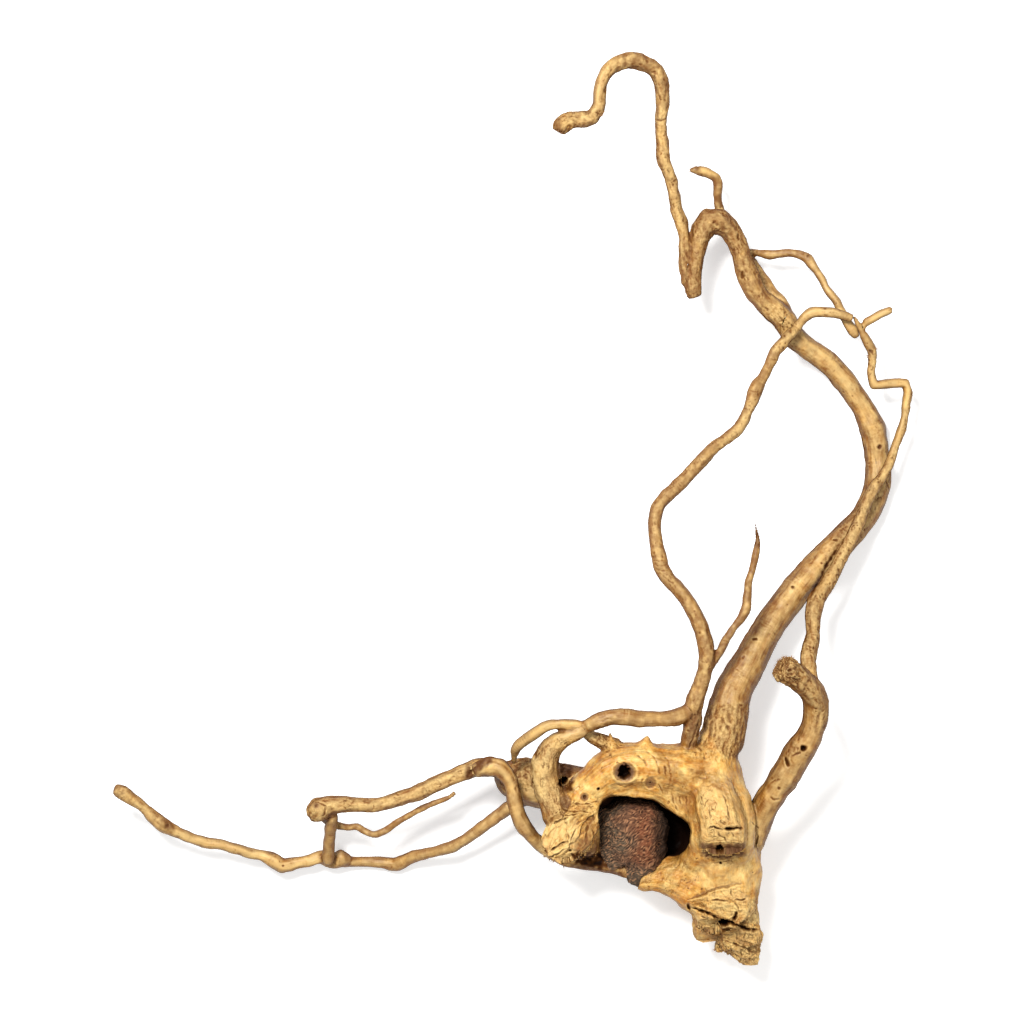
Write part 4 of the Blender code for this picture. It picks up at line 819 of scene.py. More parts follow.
def measure(points, limb):
    """Where each point near a limb lies on it: which points, how far off, and its place."""
    reach = limb["thick"].max() + 6.0 * MM
    low, high = limb["centres"].min(axis=0) - reach, limb["centres"].max(axis=0) + reach
    near = np.flatnonzero(np.all((points > low) & (points < high), axis=1))
    nearest = np.zeros(len(near), dtype=int)
    size = (limb["centres"] ** 2).sum(axis=1)
    for start in range(0, len(near), 20000):
        some = points[near[start:start + 20000]]
        apart = (some ** 2).sum(axis=1)[:, None] + size - 2.0 * some @ limb["centres"].T
        nearest[start:start + 20000] = np.argmin(
            np.sqrt(np.maximum(apart, 0.0)) - limb["thick"], axis=1)
    offset = points[near] - limb["centres"][nearest]
    ahead = (offset * limb["aims"][nearest]).sum(axis=1)
    beside = (offset * limb["sides"][nearest]).sum(axis=1)
    above = (offset * limb["ups"][nearest]).sum(axis=1)
    off = np.linalg.norm(offset, axis=1) - limb["thick"][nearest]
    keep = off < 6.0 * MM
    place_on = np.column_stack((limb["run"][nearest] + ahead, beside, above))
    return {"near": near[keep], "off": off[keep], "on": place_on[keep],
            "thick": limb["thick"][nearest][keep]}


def noise_at(points, size, seed=0.0):
    """Smooth noise, with lumps of about the given size, at each point.

    The seed only moves the pattern, so that no two patterns run together.
    """
    spots = points / np.asarray(size) + seed
    return np.fromiter((noise.noise(spot) for spot in spots.tolist()), float, len(spots))


def fade(values, start, width):
    """0 up to the start, and 1 from one width further on."""
    return np.clip((values - start) / width, 0.0, 1.0)


class Skin:
    """Corners, faces and neighbours of one closed skin, as arrays."""

    def __init__(self, piece, limbs):
        refine_seen(piece)
        mesh = piece.data
        count = len(mesh.vertices)
        flat = np.empty(count * 3)
        mesh.vertices.foreach_get("co", flat)
        self.points = flat.reshape(-1, 3)
        ends = np.empty(len(mesh.edges) * 2, dtype=int)
        mesh.edges.foreach_get("vertices", ends)
        self.edges = ends.reshape(-1, 2)
        corners = np.empty(len(mesh.loops), dtype=int)
        mesh.loops.foreach_get("vertex_index", corners)
        self.faces = corners.reshape(-1, 3)
        self.from_start = self.points[self.faces].mean(axis=1)
        self.degree = np.bincount(self.edges.ravel(), minlength=count)
        self.points = self.softened(self.points, 2)
        self.names = list(limbs)
        self.flows = [follow(route) for route in limbs.values()]
        bpy.data.objects.remove(piece, do_unlink=True)
        self.find_normals()
        self.find_limbs()

    def around(self, values):
        """Mean of the neighbours' values at each corner."""
        first, second = self.edges.T
        columns = values.reshape(len(values), -1).T
        total = [np.bincount(first, column[second], len(values))
                 + np.bincount(second, column[first], len(values)) for column in columns]
        return (np.array(total) / self.degree).T.reshape(values.shape)

    def softened(self, values, rounds):
        """Values at the corners, evened out with their neighbours'."""
        for _ in range(rounds):
            values = 0.5 * values + 0.5 * self.around(values)
        return values

    def find_normals(self):
        """Way that the skin faces at each corner."""
        a, b, c = (self.points[self.faces[:, side]] for side in range(3))
        across = np.cross(b - a, c - a)
        total = np.zeros_like(self.points)
        for side in range(3):
            for axis in range(3):
                total[:, axis] += np.bincount(self.faces[:, side], across[:, axis],
                                              len(self.points))
        size = np.linalg.norm(total, axis=1)[:, None]
        self.normals = total / np.maximum(size, 1e-12)

    def find_limbs(self):
        """Nearest limb of every corner, and how far off the second nearest is."""
        count = len(self.points)
        self.places = [measure(self.points, flow) for flow in self.flows]
        self.best = np.full(count, 1.0)
        self.second = np.full(count, 1.0)
        self.label = np.zeros(count, dtype=int)
        for number, on in enumerate(self.places):
            near, off = on["near"], on["off"]
            closer = off < self.best[near]
            self.second[near] = np.where(closer, self.best[near],
                                         np.minimum(self.second[near], off))
            self.best[near] = np.where(closer, off, self.best[near])
            self.label[near[closer]] = number

    def mark(self, kind, near, amount):
        """Makes a kind of mark at least as strong as an amount at some corners."""
        marks = getattr(self, kind)
        marks[near] = np.maximum(marks[near], amount)

    def blend(self, pattern):
        """A pattern worked out along each limb, melted together where limbs meet."""
        total = np.zeros(len(self.points))
        weight = np.full(len(self.points), 1e-9)
        for number, on in enumerate(self.places):
            near = on["near"]
            share = np.exp(-(on["off"] - self.best[near]) / MELT)
            total[near] += share * pattern(number, on)
            weight[near] += share
        return total / weight


def hold_thickness(skin):
    """Gives the free limbs back the thickness that softening took from them."""
    in_crown = np.array([name in CROWN for name in skin.names])
    alone = fade(skin.second, 1.5 * MM, 2.0 * MM)
    alone[in_crown[skin.label]] = 0.0
    gain = (np.clip(skin.best, -0.6 * MM, 0.3 * MM) - 0.16 * MM) * alone
    skin.points -= skin.normals * gain[:, None]


def fill_forks(skin):
    """Rounds the creases where one limb leaves another."""
    near_fork = np.clip(1.6 - skin.second / (1.5 * MM), 0.0, 1.0)[:, None]
    for _ in range(8):
        skin.points += 0.5 * near_fork * (skin.around(skin.points) - skin.points)


def growth_lumps(skin):
    """The slow unevenness of each limb, the same as in its solid."""
    def lumps(number, on):
        """Lumps in step with the limb's thickness."""
        seed = np.array([len(ROUTES[skin.names[number]]), 0.0, 0.0])
        return on["thick"] * 0.055 * noise_at(skin.points[on["near"]], 16.0 * MM, seed)
    skin.points += skin.normals * skin.blend(lumps)[:, None]


def lengthwise_grain(skin):
    """Grooves and wrinkles along each limb, and rings across it where growth has paused."""
    def lying(number, on, long, wide, step, start):
        """Noise of a length and width in mm, its own for each limb."""
        return noise_at(on["on"], (long * MM, wide * MM, wide * MM), number * step + start)

    def rings(number, on):
        """Sharp lines across the limb, here and there along it."""
        lines = lying(number, on, 1.7, 9.0, 5.9, 13.0)
        ringed = lying(number, on, 13.0, 16.0, 2.3, 71.0)
        return (1.0 - np.abs(lines) * 3.0).clip(0.0, 1.0) ** 2 * (ringed * 4.0 - 1.0).clip(0.0, 1.0)

    skin.groove = skin.blend(lambda number, on: lying(number, on, 14.0, 3.6, 7.3, 0.0))
    wrinkle = skin.blend(lambda number, on: lying(number, on, 9.0, 1.4, 3.1, 40.0))
    skin.band = skin.blend(lambda number, on: lying(number, on, 20.0, 2.1, 4.1, 90.0))
    thick = skin.blend(lambda _, on: on["thick"])
    skin.stout = fade(thick, 3.5 * MM, 3.5 * MM)
    depth = np.clip(thick * 0.05, 0.08 * MM, 0.24 * MM)
    valley = (1.0 - np.abs(wrinkle) * 2.2).clip(0.0, 1.0) ** 2
    rise = depth * (1.3 * skin.groove + 0.9 * skin.band - 0.5 * valley
                    - 0.8 * skin.blend(rings))
    skin.points += skin.normals * rise[:, None]


def bark_lumps(skin):
    """Rounded lumps, hollows and pits, deeper on the crown than on the limbs."""
    in_crown = np.array([name in CROWN for name in skin.names])[skin.label]
    share = skin.softened(in_crown.astype(float), 30)
    skin.limb = 1.0 - share
    broad = noise_at(skin.points, 10.0 * MM, 3.0)
    knobs = noise_at(skin.points, 6.0 * MM, 43.0)
    small = noise_at(skin.points, 4.2 * MM, 9.0)
    finest = noise_at(skin.points, 1.9 * MM, 19.0)
    rise = ((0.9 * MM * share + 0.15 * MM) * broad + (0.3 * MM * share + 0.1 * MM) * small
            + (0.1 * MM * share + 0.04 * MM) * finest + 0.45 * MM * skin.limb * knobs)
    skin.pits = np.clip((noise_at(skin.points, 2.6 * MM, 101.0) - 0.66) * 8.0, 0.0, 1.0)
    rise -= 0.35 * MM * skin.pits
    skin.points += skin.normals * rise[:, None]


def look_from_above(skin):
    """Grid spots of the corners, true and unsteady, and whether each is seen from above."""
    skin.find_normals()
    skin.spots = grid_spots(skin.points)
    skin.seen = uncovered(skin.points, skin.spots, 3.0 * MM) & (skin.normals[:, 2] > -0.2)
    bends = np.column_stack([noise_at(skin.points, 3.0 * MM, seed) for seed in (11.0, 23.0)])
    jags = np.column_stack([noise_at(skin.points, 1.1 * MM, seed) for seed in (35.0, 47.0)])
    skin.wandering = skin.spots + 1.3 * bends + 0.6 * jags
    skin.straight = skin.spots + 0.9 * bends + 0.25 * jags


def near_line(spots, line):
    """How far each spot is from a line, in squares, and how far along it, from 0 to 1."""
    nearest = np.full(len(spots), 1e9)
    share = np.zeros(len(spots))
    for number, (start, end) in enumerate(zip(line, line[1:])):
        start, run = np.array(start), np.subtract(end, start)
        along = np.clip((spots - start) @ run / run.dot(run), 0.0, 1.0)
        apart = np.linalg.norm(spots - start - along[:, None] * run, axis=1)
        closer = apart < nearest
        nearest[closer] = apart[closer]
        share[closer] = (number + along[closer]) / (len(line) - 1)
    return nearest, share


def seen_near(skin, line, reach):
    """Corners seen from above within a reach of the box round a line, in squares."""
    low, high = np.min(line, axis=0) - reach, np.max(line, axis=0) + reach
    return np.flatnonzero(skin.seen & np.all((skin.spots > low) & (skin.spots < high), axis=1))


def within_outline(spots, outline):
    """How far each spot lies inside an outline, in squares, or below zero outside it."""
    apart = near_line(spots, outline + outline[:1])[0]
    within = np.zeros(len(spots), dtype=bool)
    for (left, upper), (right, lower) in zip(outline, outline[1:] + outline[:1]):
        if upper == lower:
            continue
        level = (upper > spots[:, 1]) != (lower > spots[:, 1])
        at = left + (spots[:, 1] - upper) / (lower - upper) * (right - left)
        within ^= level & (spots[:, 0] < at)
    return np.where(within, apart, -apart)


def chips_at(on, size, seed):
    """Height of the flat chip at each place, and how far the place is from the chip's edge."""
    heights, edges = [], []
    for spot in (on / np.asarray(size) + seed).tolist():
        apart, middles = noise.voronoi(spot)
        lean = noise.noise_vector(middles[0] * 3.7)
        offset = Vector(spot) - middles[0]
        heights.append(lean.z + 0.7 * (offset.x * lean.x + offset.y * lean.y))
        edges.append(apart[1] - apart[0])
    return np.array(heights), np.array(edges)


def torn_relief(on, size, plates, strands, splits):
    """Chips, strands and splits of torn wood, at places along and across its fibres."""
    bent = on + 1.2 * MM * np.column_stack([noise_at(on, 5.0 * MM, seed)
                                            for seed in (2.0, 12.0, 22.0)])
    height, edge = chips_at(bent, np.multiply(size, (6.5, 3.3, 3.3)), 3.0)
    hairs = noise_at(on, np.multiply(size, (5.0, 0.8, 0.8)), 17.0)
    open_here = np.clip(noise_at(on, np.multiply(size, (6.0, 4.0, 4.0)), 51.0) * 3.0, 0.0, 1.0)
    split = np.clip(1.0 - edge * 8.0, 0.0, 1.0) * open_here
    return (plates * 1.5 * height + strands * hairs - splits * split) * MM, split


def worn_relief(on, relief, splits):
    """Waves, strands and a few splits of worn bark."""
    waves = noise_at(on, (6.5 * MM, 2.8 * MM, 2.8 * MM), 3.0)
    hairs = noise_at(on, (5.0 * MM, 0.8 * MM, 0.8 * MM), 17.0)
    ridge = noise_at(on, (6.0 * MM, 1.7 * MM, 1.7 * MM), 29.0)
    open_here = np.clip(noise_at(on, (5.0 * MM, 4.0 * MM, 4.0 * MM), 51.0) * 3.0 - 0.1, 0.0, 1.0)
    split = np.clip(1.0 - np.abs(ridge) * 7.0, 0.0, 1.0) * open_here
    return (relief * (1.5 * waves + 0.4 * hairs) - splits * split) * MM, split


def tear_limbs(skin):
    """Broken wood at the torn limbs, its fibres lying along them."""
    for name, (length, size, plates, strands, splits) in TORN_LIMBS.items():
        if name not in skin.names:
            continue
        number = skin.names.index(name)
        on = skin.places[number]
        near = on["near"]
        ahead = on["on"][:, 0] - skin.flows[number]["run"][-1] + length * MM
        share = np.exp(-(on["off"] - skin.best[near]) / MELT)
        share *= fade(ahead, -3.0 * MM, 6.0 * MM)
        near, share, spots = near[share > 0.02], share[share > 0.02], on["on"][share > 0.02]
        rise, split = torn_relief(spots, size * MM, plates, strands, splits)
        skin.mark("grit", near, 0.7 * share)
        change = np.zeros(len(skin.points))
        change[near] = rise * share
        skin.points += skin.normals * skin.softened(change, 2)[:, None]
        # Painted shade in the splits
        dark = share * split * min(splits, 1.0) * 0.6
        skin.mark("stain", near, dark)


def rough_patch(skin, outline, turn, relief, splits, brown):
    """Worn bark on a patch: waves and splits that lie along its fibres, browned in blotches."""
    near = seen_near(skin, outline, 4.0)
    share = np.clip(within_outline(skin.wandering[near], outline) / 4.0 + 0.5, 0.0, 1.0)
    near, share = near[share > 0.0], share[share > 0.0]
    lie = np.array((math.cos(math.radians(turn)), math.sin(math.radians(turn))))
    spots = skin.wandering[near] * SQUARE
    on = np.column_stack((spots @ lie, spots @ (-lie[1], lie[0]), skin.points[near, 2]))
    rise, split = worn_relief(on, relief, splits)
    skin.mark("grit", near, share * min(1.8 * relief, 0.8))
    skin.points[near] += skin.normals[near] * (rise * share)[:, None]
    blotch = noise_at(on, (6.0 * MM, 2.5 * MM, 4.0 * MM), 61.0)
    # Painted shade in the splits
    dark = share * split * min(splits, 1.0) * 0.5
    skin.mark("stain", near, dark)
    tint = share * brown * np.clip(0.6 + 1.2 * blotch, 0.0, 1.0)
    skin.mark("brown", near, tint)


def flatten_face(skin, outline, spot, aim):
    """Takes off the wood that stands out beyond a flat face."""
    near = seen_near(skin, outline, 2.0)
    share = np.clip(within_outline(skin.spots[near], outline) / 5.0 + 0.5, 0.0, 1.0)
    aim = np.array(aim) / np.linalg.norm(aim)
    over = np.maximum((skin.points[near] - np.array(place(*spot))) @ aim, 0.0)
    skin.points[near] -= aim * (0.9 * over * share)[:, None]


def break_step(skin, drop, soft, reach, line):
    """Lowers the wood on the right of a line, sharply at the line and less away from it.

    A brown line of painted shade runs along the foot of the step.
    """
    near = seen_near(skin, line, reach * 1.8)
    spots = skin.straight[near]
    apart, share = near_line(spots, line)
    side = np.zeros(len(near))
    closest = np.full(len(near), 1e9)
    for start, end in zip(line, line[1:]):
        run, offset = np.subtract(end, start), spots - start
        away = near_line(spots, [start, end])[0]
        turn = (run[0] * offset[:, 1] - run[1] * offset[:, 0]) / np.linalg.norm(run)
        side = np.where(away < closest, turn, side)
        closest = np.minimum(away, closest)
    taper = np.clip(6.0 * share, 0.0, 1.0) * np.clip(6.0 * (1.0 - share), 0.0, 1.0)
    below = np.clip(side / soft + 0.5, 0.0, 1.0) * np.exp(-(apart / reach) ** 2)
    skin.points[near, 2] -= drop * MM * below * taper
    edge = np.exp(-((side - 0.3 * soft - 0.6) / (0.8 + 0.4 * soft)) ** 2)
    edge *= taper * (apart < 4.0 + soft)
    skin.mark("brown", near, 0.6 * edge)


def stain_patch(skin, outline, brown, dark, grey, pale=0.0):
    """Colours a patch in soft blotches."""
    near = seen_near(skin, outline, 4.0)
    share = np.clip(within_outline(skin.wandering[near], outline) / 4.0 + 0.5, 0.0, 1.0)
    blotch = np.clip(0.8 + 0.9 * noise_at(skin.points[near], 3.0 * MM, 67.0), 0.0, 1.0)
    for kind, amount in (("brown", brown), ("stain", dark), ("grey", grey), ("pale", pale)):
        skin.mark(kind, near, amount * share * blotch)


def paint_hollow_shade(skin):
    """Painted shade in the hollow: the wood below its rim is painted black-brown."""
    downs, levels = zip(*DARK_BELOW)
    near = np.flatnonzero((np.abs(skin.spots[:, 0] - 645.0) < 60.0)
                          & (np.abs(skin.spots[:, 1] - 840.0) < 55.0))
    inside = np.clip(within_outline(skin.spots[near], HOLLOW_RIM) / 2.0 + 2.0, 0.0, 1.0)
    level = np.interp(skin.spots[near, 1], downs, levels) * MM
    low = np.clip((level - skin.points[near, 2]) / (5.0 * MM), 0.0, 1.0)
    skin.mark("stain", near, 1.15 * inside * low)


def open_crack(skin, wide, deep, dark, line):
    """A crack along a line, uneven in width, with its lips a little raised and paler.

    Its gap is painted dark as shade.
    """
    wide = wide * 0.72
    near = seen_near(skin, line, wide * 4.0 + 3.0)
    apart, share = near_line(skin.straight[near], line)
    taper = np.clip(4.0 * share, 0.0, 1.0) * np.clip(4.0 * (1.0 - share), 0.0, 1.0)
    uneven = 0.8 + 0.8 * noise_at(skin.points[near], 3.2 * MM, 71.0)
    cut = np.exp(-(apart / (wide * uneven.clip(0.3, 1.3))) ** 2) * taper * uneven.clip(0.35, 1.0)
    lips = np.exp(-((apart - 2.2 * wide) / wide) ** 2) * taper
    skin.points[near, 2] += (lips * 0.12 - cut) * deep * MM
    skin.mark("brown", near, min(dark * 1.4, 1.0) * cut)
    black = max(dark - 0.4, 0.0) / 0.6
    skin.mark("stain", near, black * cut)
    skin.mark("pale", near, 0.1 * lips)


def rot_knot(skin, knot):
    """A knot: a dished ring with a lip and fine rings inside, and a ragged hole.

    The hole is painted dark as shade.
    """
    across, down, hole_wide, hole_high, ring_wide, ring_high, deep, grey = knot
    reach = max(hole_wide, ring_wide) * 1.6 + 3.0
    near = seen_near(skin, [(across, down)], reach)
    offset = skin.wandering[near] * 0.6 + skin.spots[near] * 0.4 - (across, down)
    if ring_wide:
        apart = np.linalg.norm(offset / (ring_wide, ring_high), axis=1)
        lip = np.exp(-((apart - 1.12) / 0.16) ** 2)
        dish = np.clip((1.0 - apart) * 3.0, 0.0, 1.0)
        lower = np.clip(offset[:, 1] / ring_high + 0.2, 0.0, 1.0)
        tall = min(1.0, max(ring_wide - 3.5, 0.0) / 5.0)
        skin.points[near, 2] += (0.3 * lip + 0.4 * lip * lower - 0.8 * dish) * tall * MM
        skin.mark("grey", near, grey * dish)
        skin.mark("pale", near, 0.6 * max(grey - 0.3, 0.0) * lip * lower)
        inner = np.clip(1.3 - 1.1 * apart, 0.0, 1.0) * dish
        skin.mark("stain", near, 0.55 * grey * inner)
        rings = np.sin(apart * 14.0 + 2.0 * noise_at(skin.points[near], 3.0 * MM, 5.0)) * dish
        skin.points[near, 2] += 0.12 * MM * rings * tall
        line = np.exp(-((apart - 0.95) / 0.1) ** 2) * min(1.0, 0.2 + 2.0 * grey)
        tint = np.maximum((0.25 + 0.4 * grey) * dish * (rings < 0.0), 0.7 * line * max(tall, 0.7))
        skin.mark("brown", near, tint)
    if hole_wide:
        apart = np.linalg.norm(offset / (hole_wide, hole_high), axis=1)
        ragged = 0.35 * noise_at(skin.points[near], 1.6 * MM, 83.0)
        hole = np.clip((1.2 + ragged - apart) * 2.2, 0.0, 1.0)
        skin.points[near, 2] -= deep * MM * hole
        skin.mark("brown", near, 0.8 * hole)
        dark = np.clip(hole * 1.4, 0.0, 1.0) * min(1.0, 0.06 + deep / 5.0)
        skin.mark("stain", near, dark)


def mark_wood(skin):
    """Broken faces, rough bark, knots and cracks that the wood shows from above."""
    look_from_above(skin)
    for face in FLAT_FACES:
        flatten_face(skin, *face)
    skin.find_normals()
    tear_limbs(skin)
    for step in STEPS:
        break_step(skin, *step)
    skin.find_normals()
    look_from_above(skin)
    for patch in ROUGH_PATCHES:
        rough_patch(skin, *patch)
    for patch in STAINS:
        stain_patch(skin, *patch)
    # Painted shade in the pits, in brown
    skin.brown = np.maximum(skin.brown, 0.7 * skin.pits)
    paint_hollow_shade(skin)
    for knot in KNOTS:
        rot_knot(skin, knot)
    for crack in CRACKS:
        open_crack(skin, *crack)


def stay_in_box(skin):
    """Keeps the skin within the outline of the solids."""
    low, high = np.array(cad_box[0]), np.array(cad_box[1])
    skin.points = np.clip(skin.points, low + 0.02 * MM, high - 0.02 * MM)


def tidy_labels(skin, faces):
    """Part of every face, with no part touching itself at a lone corner."""
    count = len(skin.points)
    kinds = int(faces.max()) + 1
    pairs = np.concatenate([np.sort(skin.faces[:, [side, (side + 1) % 3]], axis=1)
                            for side in range(3)])
    keys = pairs[:, 0] * count + pairs[:, 1]
    order = np.argsort(keys, kind="stable")
    face_of = np.tile(np.arange(len(skin.faces)), 3)[order]
    first, second = face_of[0::2], face_of[1::2]
    ends = pairs[order][0::2]
    for _ in range(12):
        rim = faces[first] != faces[second]
        spots = np.concatenate([ends[rim][:, side] * kinds + faces[part][rim]
                                for side in (0, 1) for part in (first, second)])
        found, times = np.unique(spots, return_counts=True)
        crossed = found[times > 2]
        if not len(crossed):
            break
        for spot in crossed.tolist():
            corner, kind = divmod(spot, kinds)
            faces[np.any(skin.faces == corner, axis=1)] = kind
    return faces


def trim_hanging(faces):
    """Leaves out the faces of a part that hang on by one edge, at its cuts."""
    while True:
        pairs = np.sort(faces[:, [0, 1, 1, 2, 2, 0]].reshape(-1, 2), axis=1)
        keys = pairs[:, 0] * (int(faces.max()) + 1) + pairs[:, 1]
        _, where, times = np.unique(keys, return_inverse=True, return_counts=True)
        open_sides = (times[where] == 1).reshape(-1, 3).sum(axis=1)
        if not (open_sides > 1).any():
            return faces
        faces = faces[open_sides < 2]


def open_loops(shape):
    """Rings of edges round every open cut."""
    open_edges = dict.fromkeys(edge for edge in shape.edges if edge.is_boundary)
    loops = []
    while open_edges:
        edge = open_edges.popitem()[0]
        loop = [edge]
        spot = edge.verts[1]
        while True:
            ahead = next((other for other in spot.link_edges if other in open_edges), None)
            if ahead is None:
                break
            del open_edges[ahead]
            loop.append(ahead)
            spot = ahead.other_vert(spot)
        loops.append(loop)
    return loops


def off_forks(spots):
    """How far each spot is from the planes where the crown forks: right side, and front."""
    return np.abs(spots[:, :2] - (SHOULDER_SIDE, FOOT_FRONT))


def fill_flat(shape, loop):
    """Closes one flat side of a cut where the crown forks."""
    spots = np.array([corner.co for edge in loop for corner in edge.verts])
    across = Vector((0.0, 0.0, 0.0))
    across[int(np.argmin(off_forks(spots).mean(axis=0)))] = 1.0
    filled = bmesh.ops.triangle_fill(shape, use_beauty=True, edges=loop, normal=across)
    caps = [face for face in filled["geom"] if isinstance(face, bmesh.types.BMFace)]
    sides = loop[0].link_loops
    if len(sides) == 2 and sides[0].vert == sides[1].vert:
        bmesh.ops.reverse_faces(shape, faces=caps)


def close_wide_cut(shape, loop):
    """Closes a cut where the crown forks, which turns a corner where its planes meet."""
    corners = list(dict.fromkeys(corner for edge in loop for corner in edge.verts))
    spots = np.array([corner.co for corner in corners])
    turn = off_forks(spots).max(axis=1)
    high = spots[:, 2] > spots[:, 2].mean()
    top = int(np.argmin(np.where(high, turn, 1.0)))
    bottom = int(np.argmin(np.where(high, 1.0, turn)))
    if max(turn[top], turn[bottom]) > 1.5 * MM:
        fill_flat(shape, loop)
        return
    seam = shape.edges.new((corners[top], corners[bottom]))
    ends = [number for number, edge in enumerate(loop)
            if corners[top] in edge.verts or corners[bottom] in edge.verts]
    rim = loop[ends[0]:] + loop[:ends[0]]
    halves = ([], [])
    side = 0
    spot = next(corner for corner in rim[0].verts if corner in rim[-1].verts)
    for edge in rim:
        if spot in (corners[top], corners[bottom]):
            side = 1 - side
        halves[side].append(edge)
        spot = edge.other_vert(spot)
    for half in halves:
        fill_flat(shape, half + [seam])


def close_small_cut(shape, loop):
    """Closes a cut across a limb with a shallow cone that stays inside the wood."""
    rim = dict.fromkeys(corner for piece in loop for corner in piece.verts)
    middle = sum((corner.co for corner in rim), Vector()) / len(rim)
    inner = dict.fromkeys(piece.link_faces[0] for piece in loop)
    inward = sum((face.calc_center_median() for face in inner), Vector()) / len(inner)
    step = inward - middle
    tip = shape.verts.new(middle + step.normalized() * min(step.length * 2.0, 0.5 * MM))
    for piece in loop:
        side = piece.link_loops[0]
        shape.faces.new((side.link_loop_next.vert, side.vert, tip))


def close_cuts(shape):
    """Closes every open cut, first those across limbs and then the crown's own forks."""
    wide = []
    for loop in open_loops(shape):
        spots = np.array([corner.co for edge in loop for corner in edge.verts])
        beside = off_forks(spots).min(axis=1) < 1.2 * MM
        if beside.mean() > 0.9 and np.ptp(spots, axis=0).max() > 15.0 * MM:
            wide.append(loop)
        else:
            close_small_cut(shape, loop)
    for loop in wide:
        close_wide_cut(shape, loop)
    left_open = [edge for edge in shape.edges if edge.is_boundary]
    closed = bmesh.ops.holes_fill(shape, edges=left_open)["faces"]
    bmesh.ops.triangulate(shape, faces=closed)


def part_skin(skin):
    """Parts the skin at its forks into closed pieces, one for each solid."""
    names = [name for name in SLOTS if name in skin.names]
    owner = np.array([names.index(name) if name in names else -1
                      for name in skin.names])[skin.label][skin.faces[:, 0]]
    if len(names) == 1:
        owner[:] = 0
    if "front_stub" in skin.names:
        names += ["crown", "shoulder", "foot"]
        ahead = skin.from_start[:, 1] < FOOT_FRONT
        right = skin.from_start[:, 0] > SHOULDER_SIDE
        fork = np.where(ahead, 2, np.where(right, 1, 0)) + len(names) - 3
        owner = np.where(owner < 0, fork, owner)
    owners = tidy_labels(skin, owner)
    pieces = {}
    for number, name in enumerate(names):
        faces = trim_hanging(skin.faces[owners == number])
        used, compact = np.unique(faces, return_inverse=True)
        mesh = bpy.data.meshes.new(name + "_wood")
        mesh.from_pydata(skin.points[used].tolist(), [], compact.reshape(-1, 3).tolist())
        shape = bmesh.new()
        shape.from_mesh(mesh)
        close_cuts(shape)
        shape.to_mesh(mesh)
        shape.free()
        keep_looks(mesh, skin, used)
        piece = bpy.data.objects.new(name + "_wood", mesh)
        bpy.context.collection.objects.link(piece)
        pieces[name] = piece
    return pieces


def keep_looks(mesh, skin, used):
    """Stores what the finish reads, and normals that run on across the cuts."""
    extra = len(mesh.vertices) - len(used)
    for name, values in skin.looks.items():
        layer = mesh.attributes.new(name, 'FLOAT_COLOR', 'POINT')
        rows = np.vstack((values[used], np.tile(values[used].mean(axis=0), (extra, 1))))
        layer.data.foreach_set("color", rows.astype(np.float32).ravel())
    flow = mesh.attributes.new("flow", 'FLOAT_VECTOR', 'POINT')
    rows = np.vstack((skin.flow[used], np.zeros((extra, 3))))
    flow.data.foreach_set("vector", rows.astype(np.float32).ravel())
    mesh.polygons.foreach_set("use_smooth", np.ones(len(mesh.polygons), dtype=bool))
    normals = np.vstack((skin.normals[used], np.tile((0.0, 0.0, 1.0), (extra, 1))))
    mesh.normals_split_custom_set_from_vertices(normals.tolist())
    mesh.update()


def note_looks(skin):
    """What the finish reads at each corner: grain, painted shade and highlight, and marks."""
    skin.find_normals()
    level = skin.softened(skin.points, 1)
    # Small ridges and creases, and broad hollows: the finish paints highlight on ridges and shade
    # in creases and hollows
    fine = ((skin.softened(skin.points, 5) - level) * skin.normals).sum(axis=1)
    broad = ((skin.softened(skin.points, 36) - level) * skin.normals).sum(axis=1)
    crevice_shading = np.clip(fine / (0.10 * MM), -1.0, 1.0) * 0.5 + 0.5
    broad_hollow_shade = np.clip(broad / (0.8 * MM), -1.0, 1.0) * 0.5 + 0.5
    streak = skin.groove * 0.5 + 0.5
    band = skin.band * 0.5 + 0.5
    # Painted shade: the more a corner faces sideways or down, the darker it is painted, less on the
    # crown
    side = np.clip((0.93 - skin.normals[:, 2]) / 0.85, 0.0, 1.0) ** 1.1
    side *= 0.62 + 0.38 * skin.limb
    skin.looks = {
        "tone": np.column_stack((crevice_shading, broad_hollow_shade, streak, side)),
        # The first mark holds real stains together with painted shade in cracks, splits, holes and
        # the hollow
        "marks": np.column_stack((skin.stain, skin.grey, skin.pale, skin.brown)),
        "kind": np.column_stack((skin.limb, skin.stout, skin.grit, band))}
    skin.flow = np.zeros((len(skin.points), 3))
    for number, on in enumerate(skin.places):
        own = skin.label[on["near"]] == number
        skin.flow[on["near"][own]] = on["on"][own] + number * 0.37


def start_marks(skin):
    """Clean wood, before anything is marked on it."""
    for kind in ("stain", "grey", "pale", "brown", "grit", "limb", "pits", "stout", "band"):
        setattr(skin, kind, np.zeros(len(skin.points)))


def shape_skin(skin):
    """Shapes the grown skin from its largest forms to its finest marks."""
    start_marks(skin)
    for work in (hold_thickness, fill_forks, Skin.find_normals, growth_lumps,
                 lengthwise_grain, bark_lumps, mark_wood, stay_in_box, note_looks):
        work(skin)


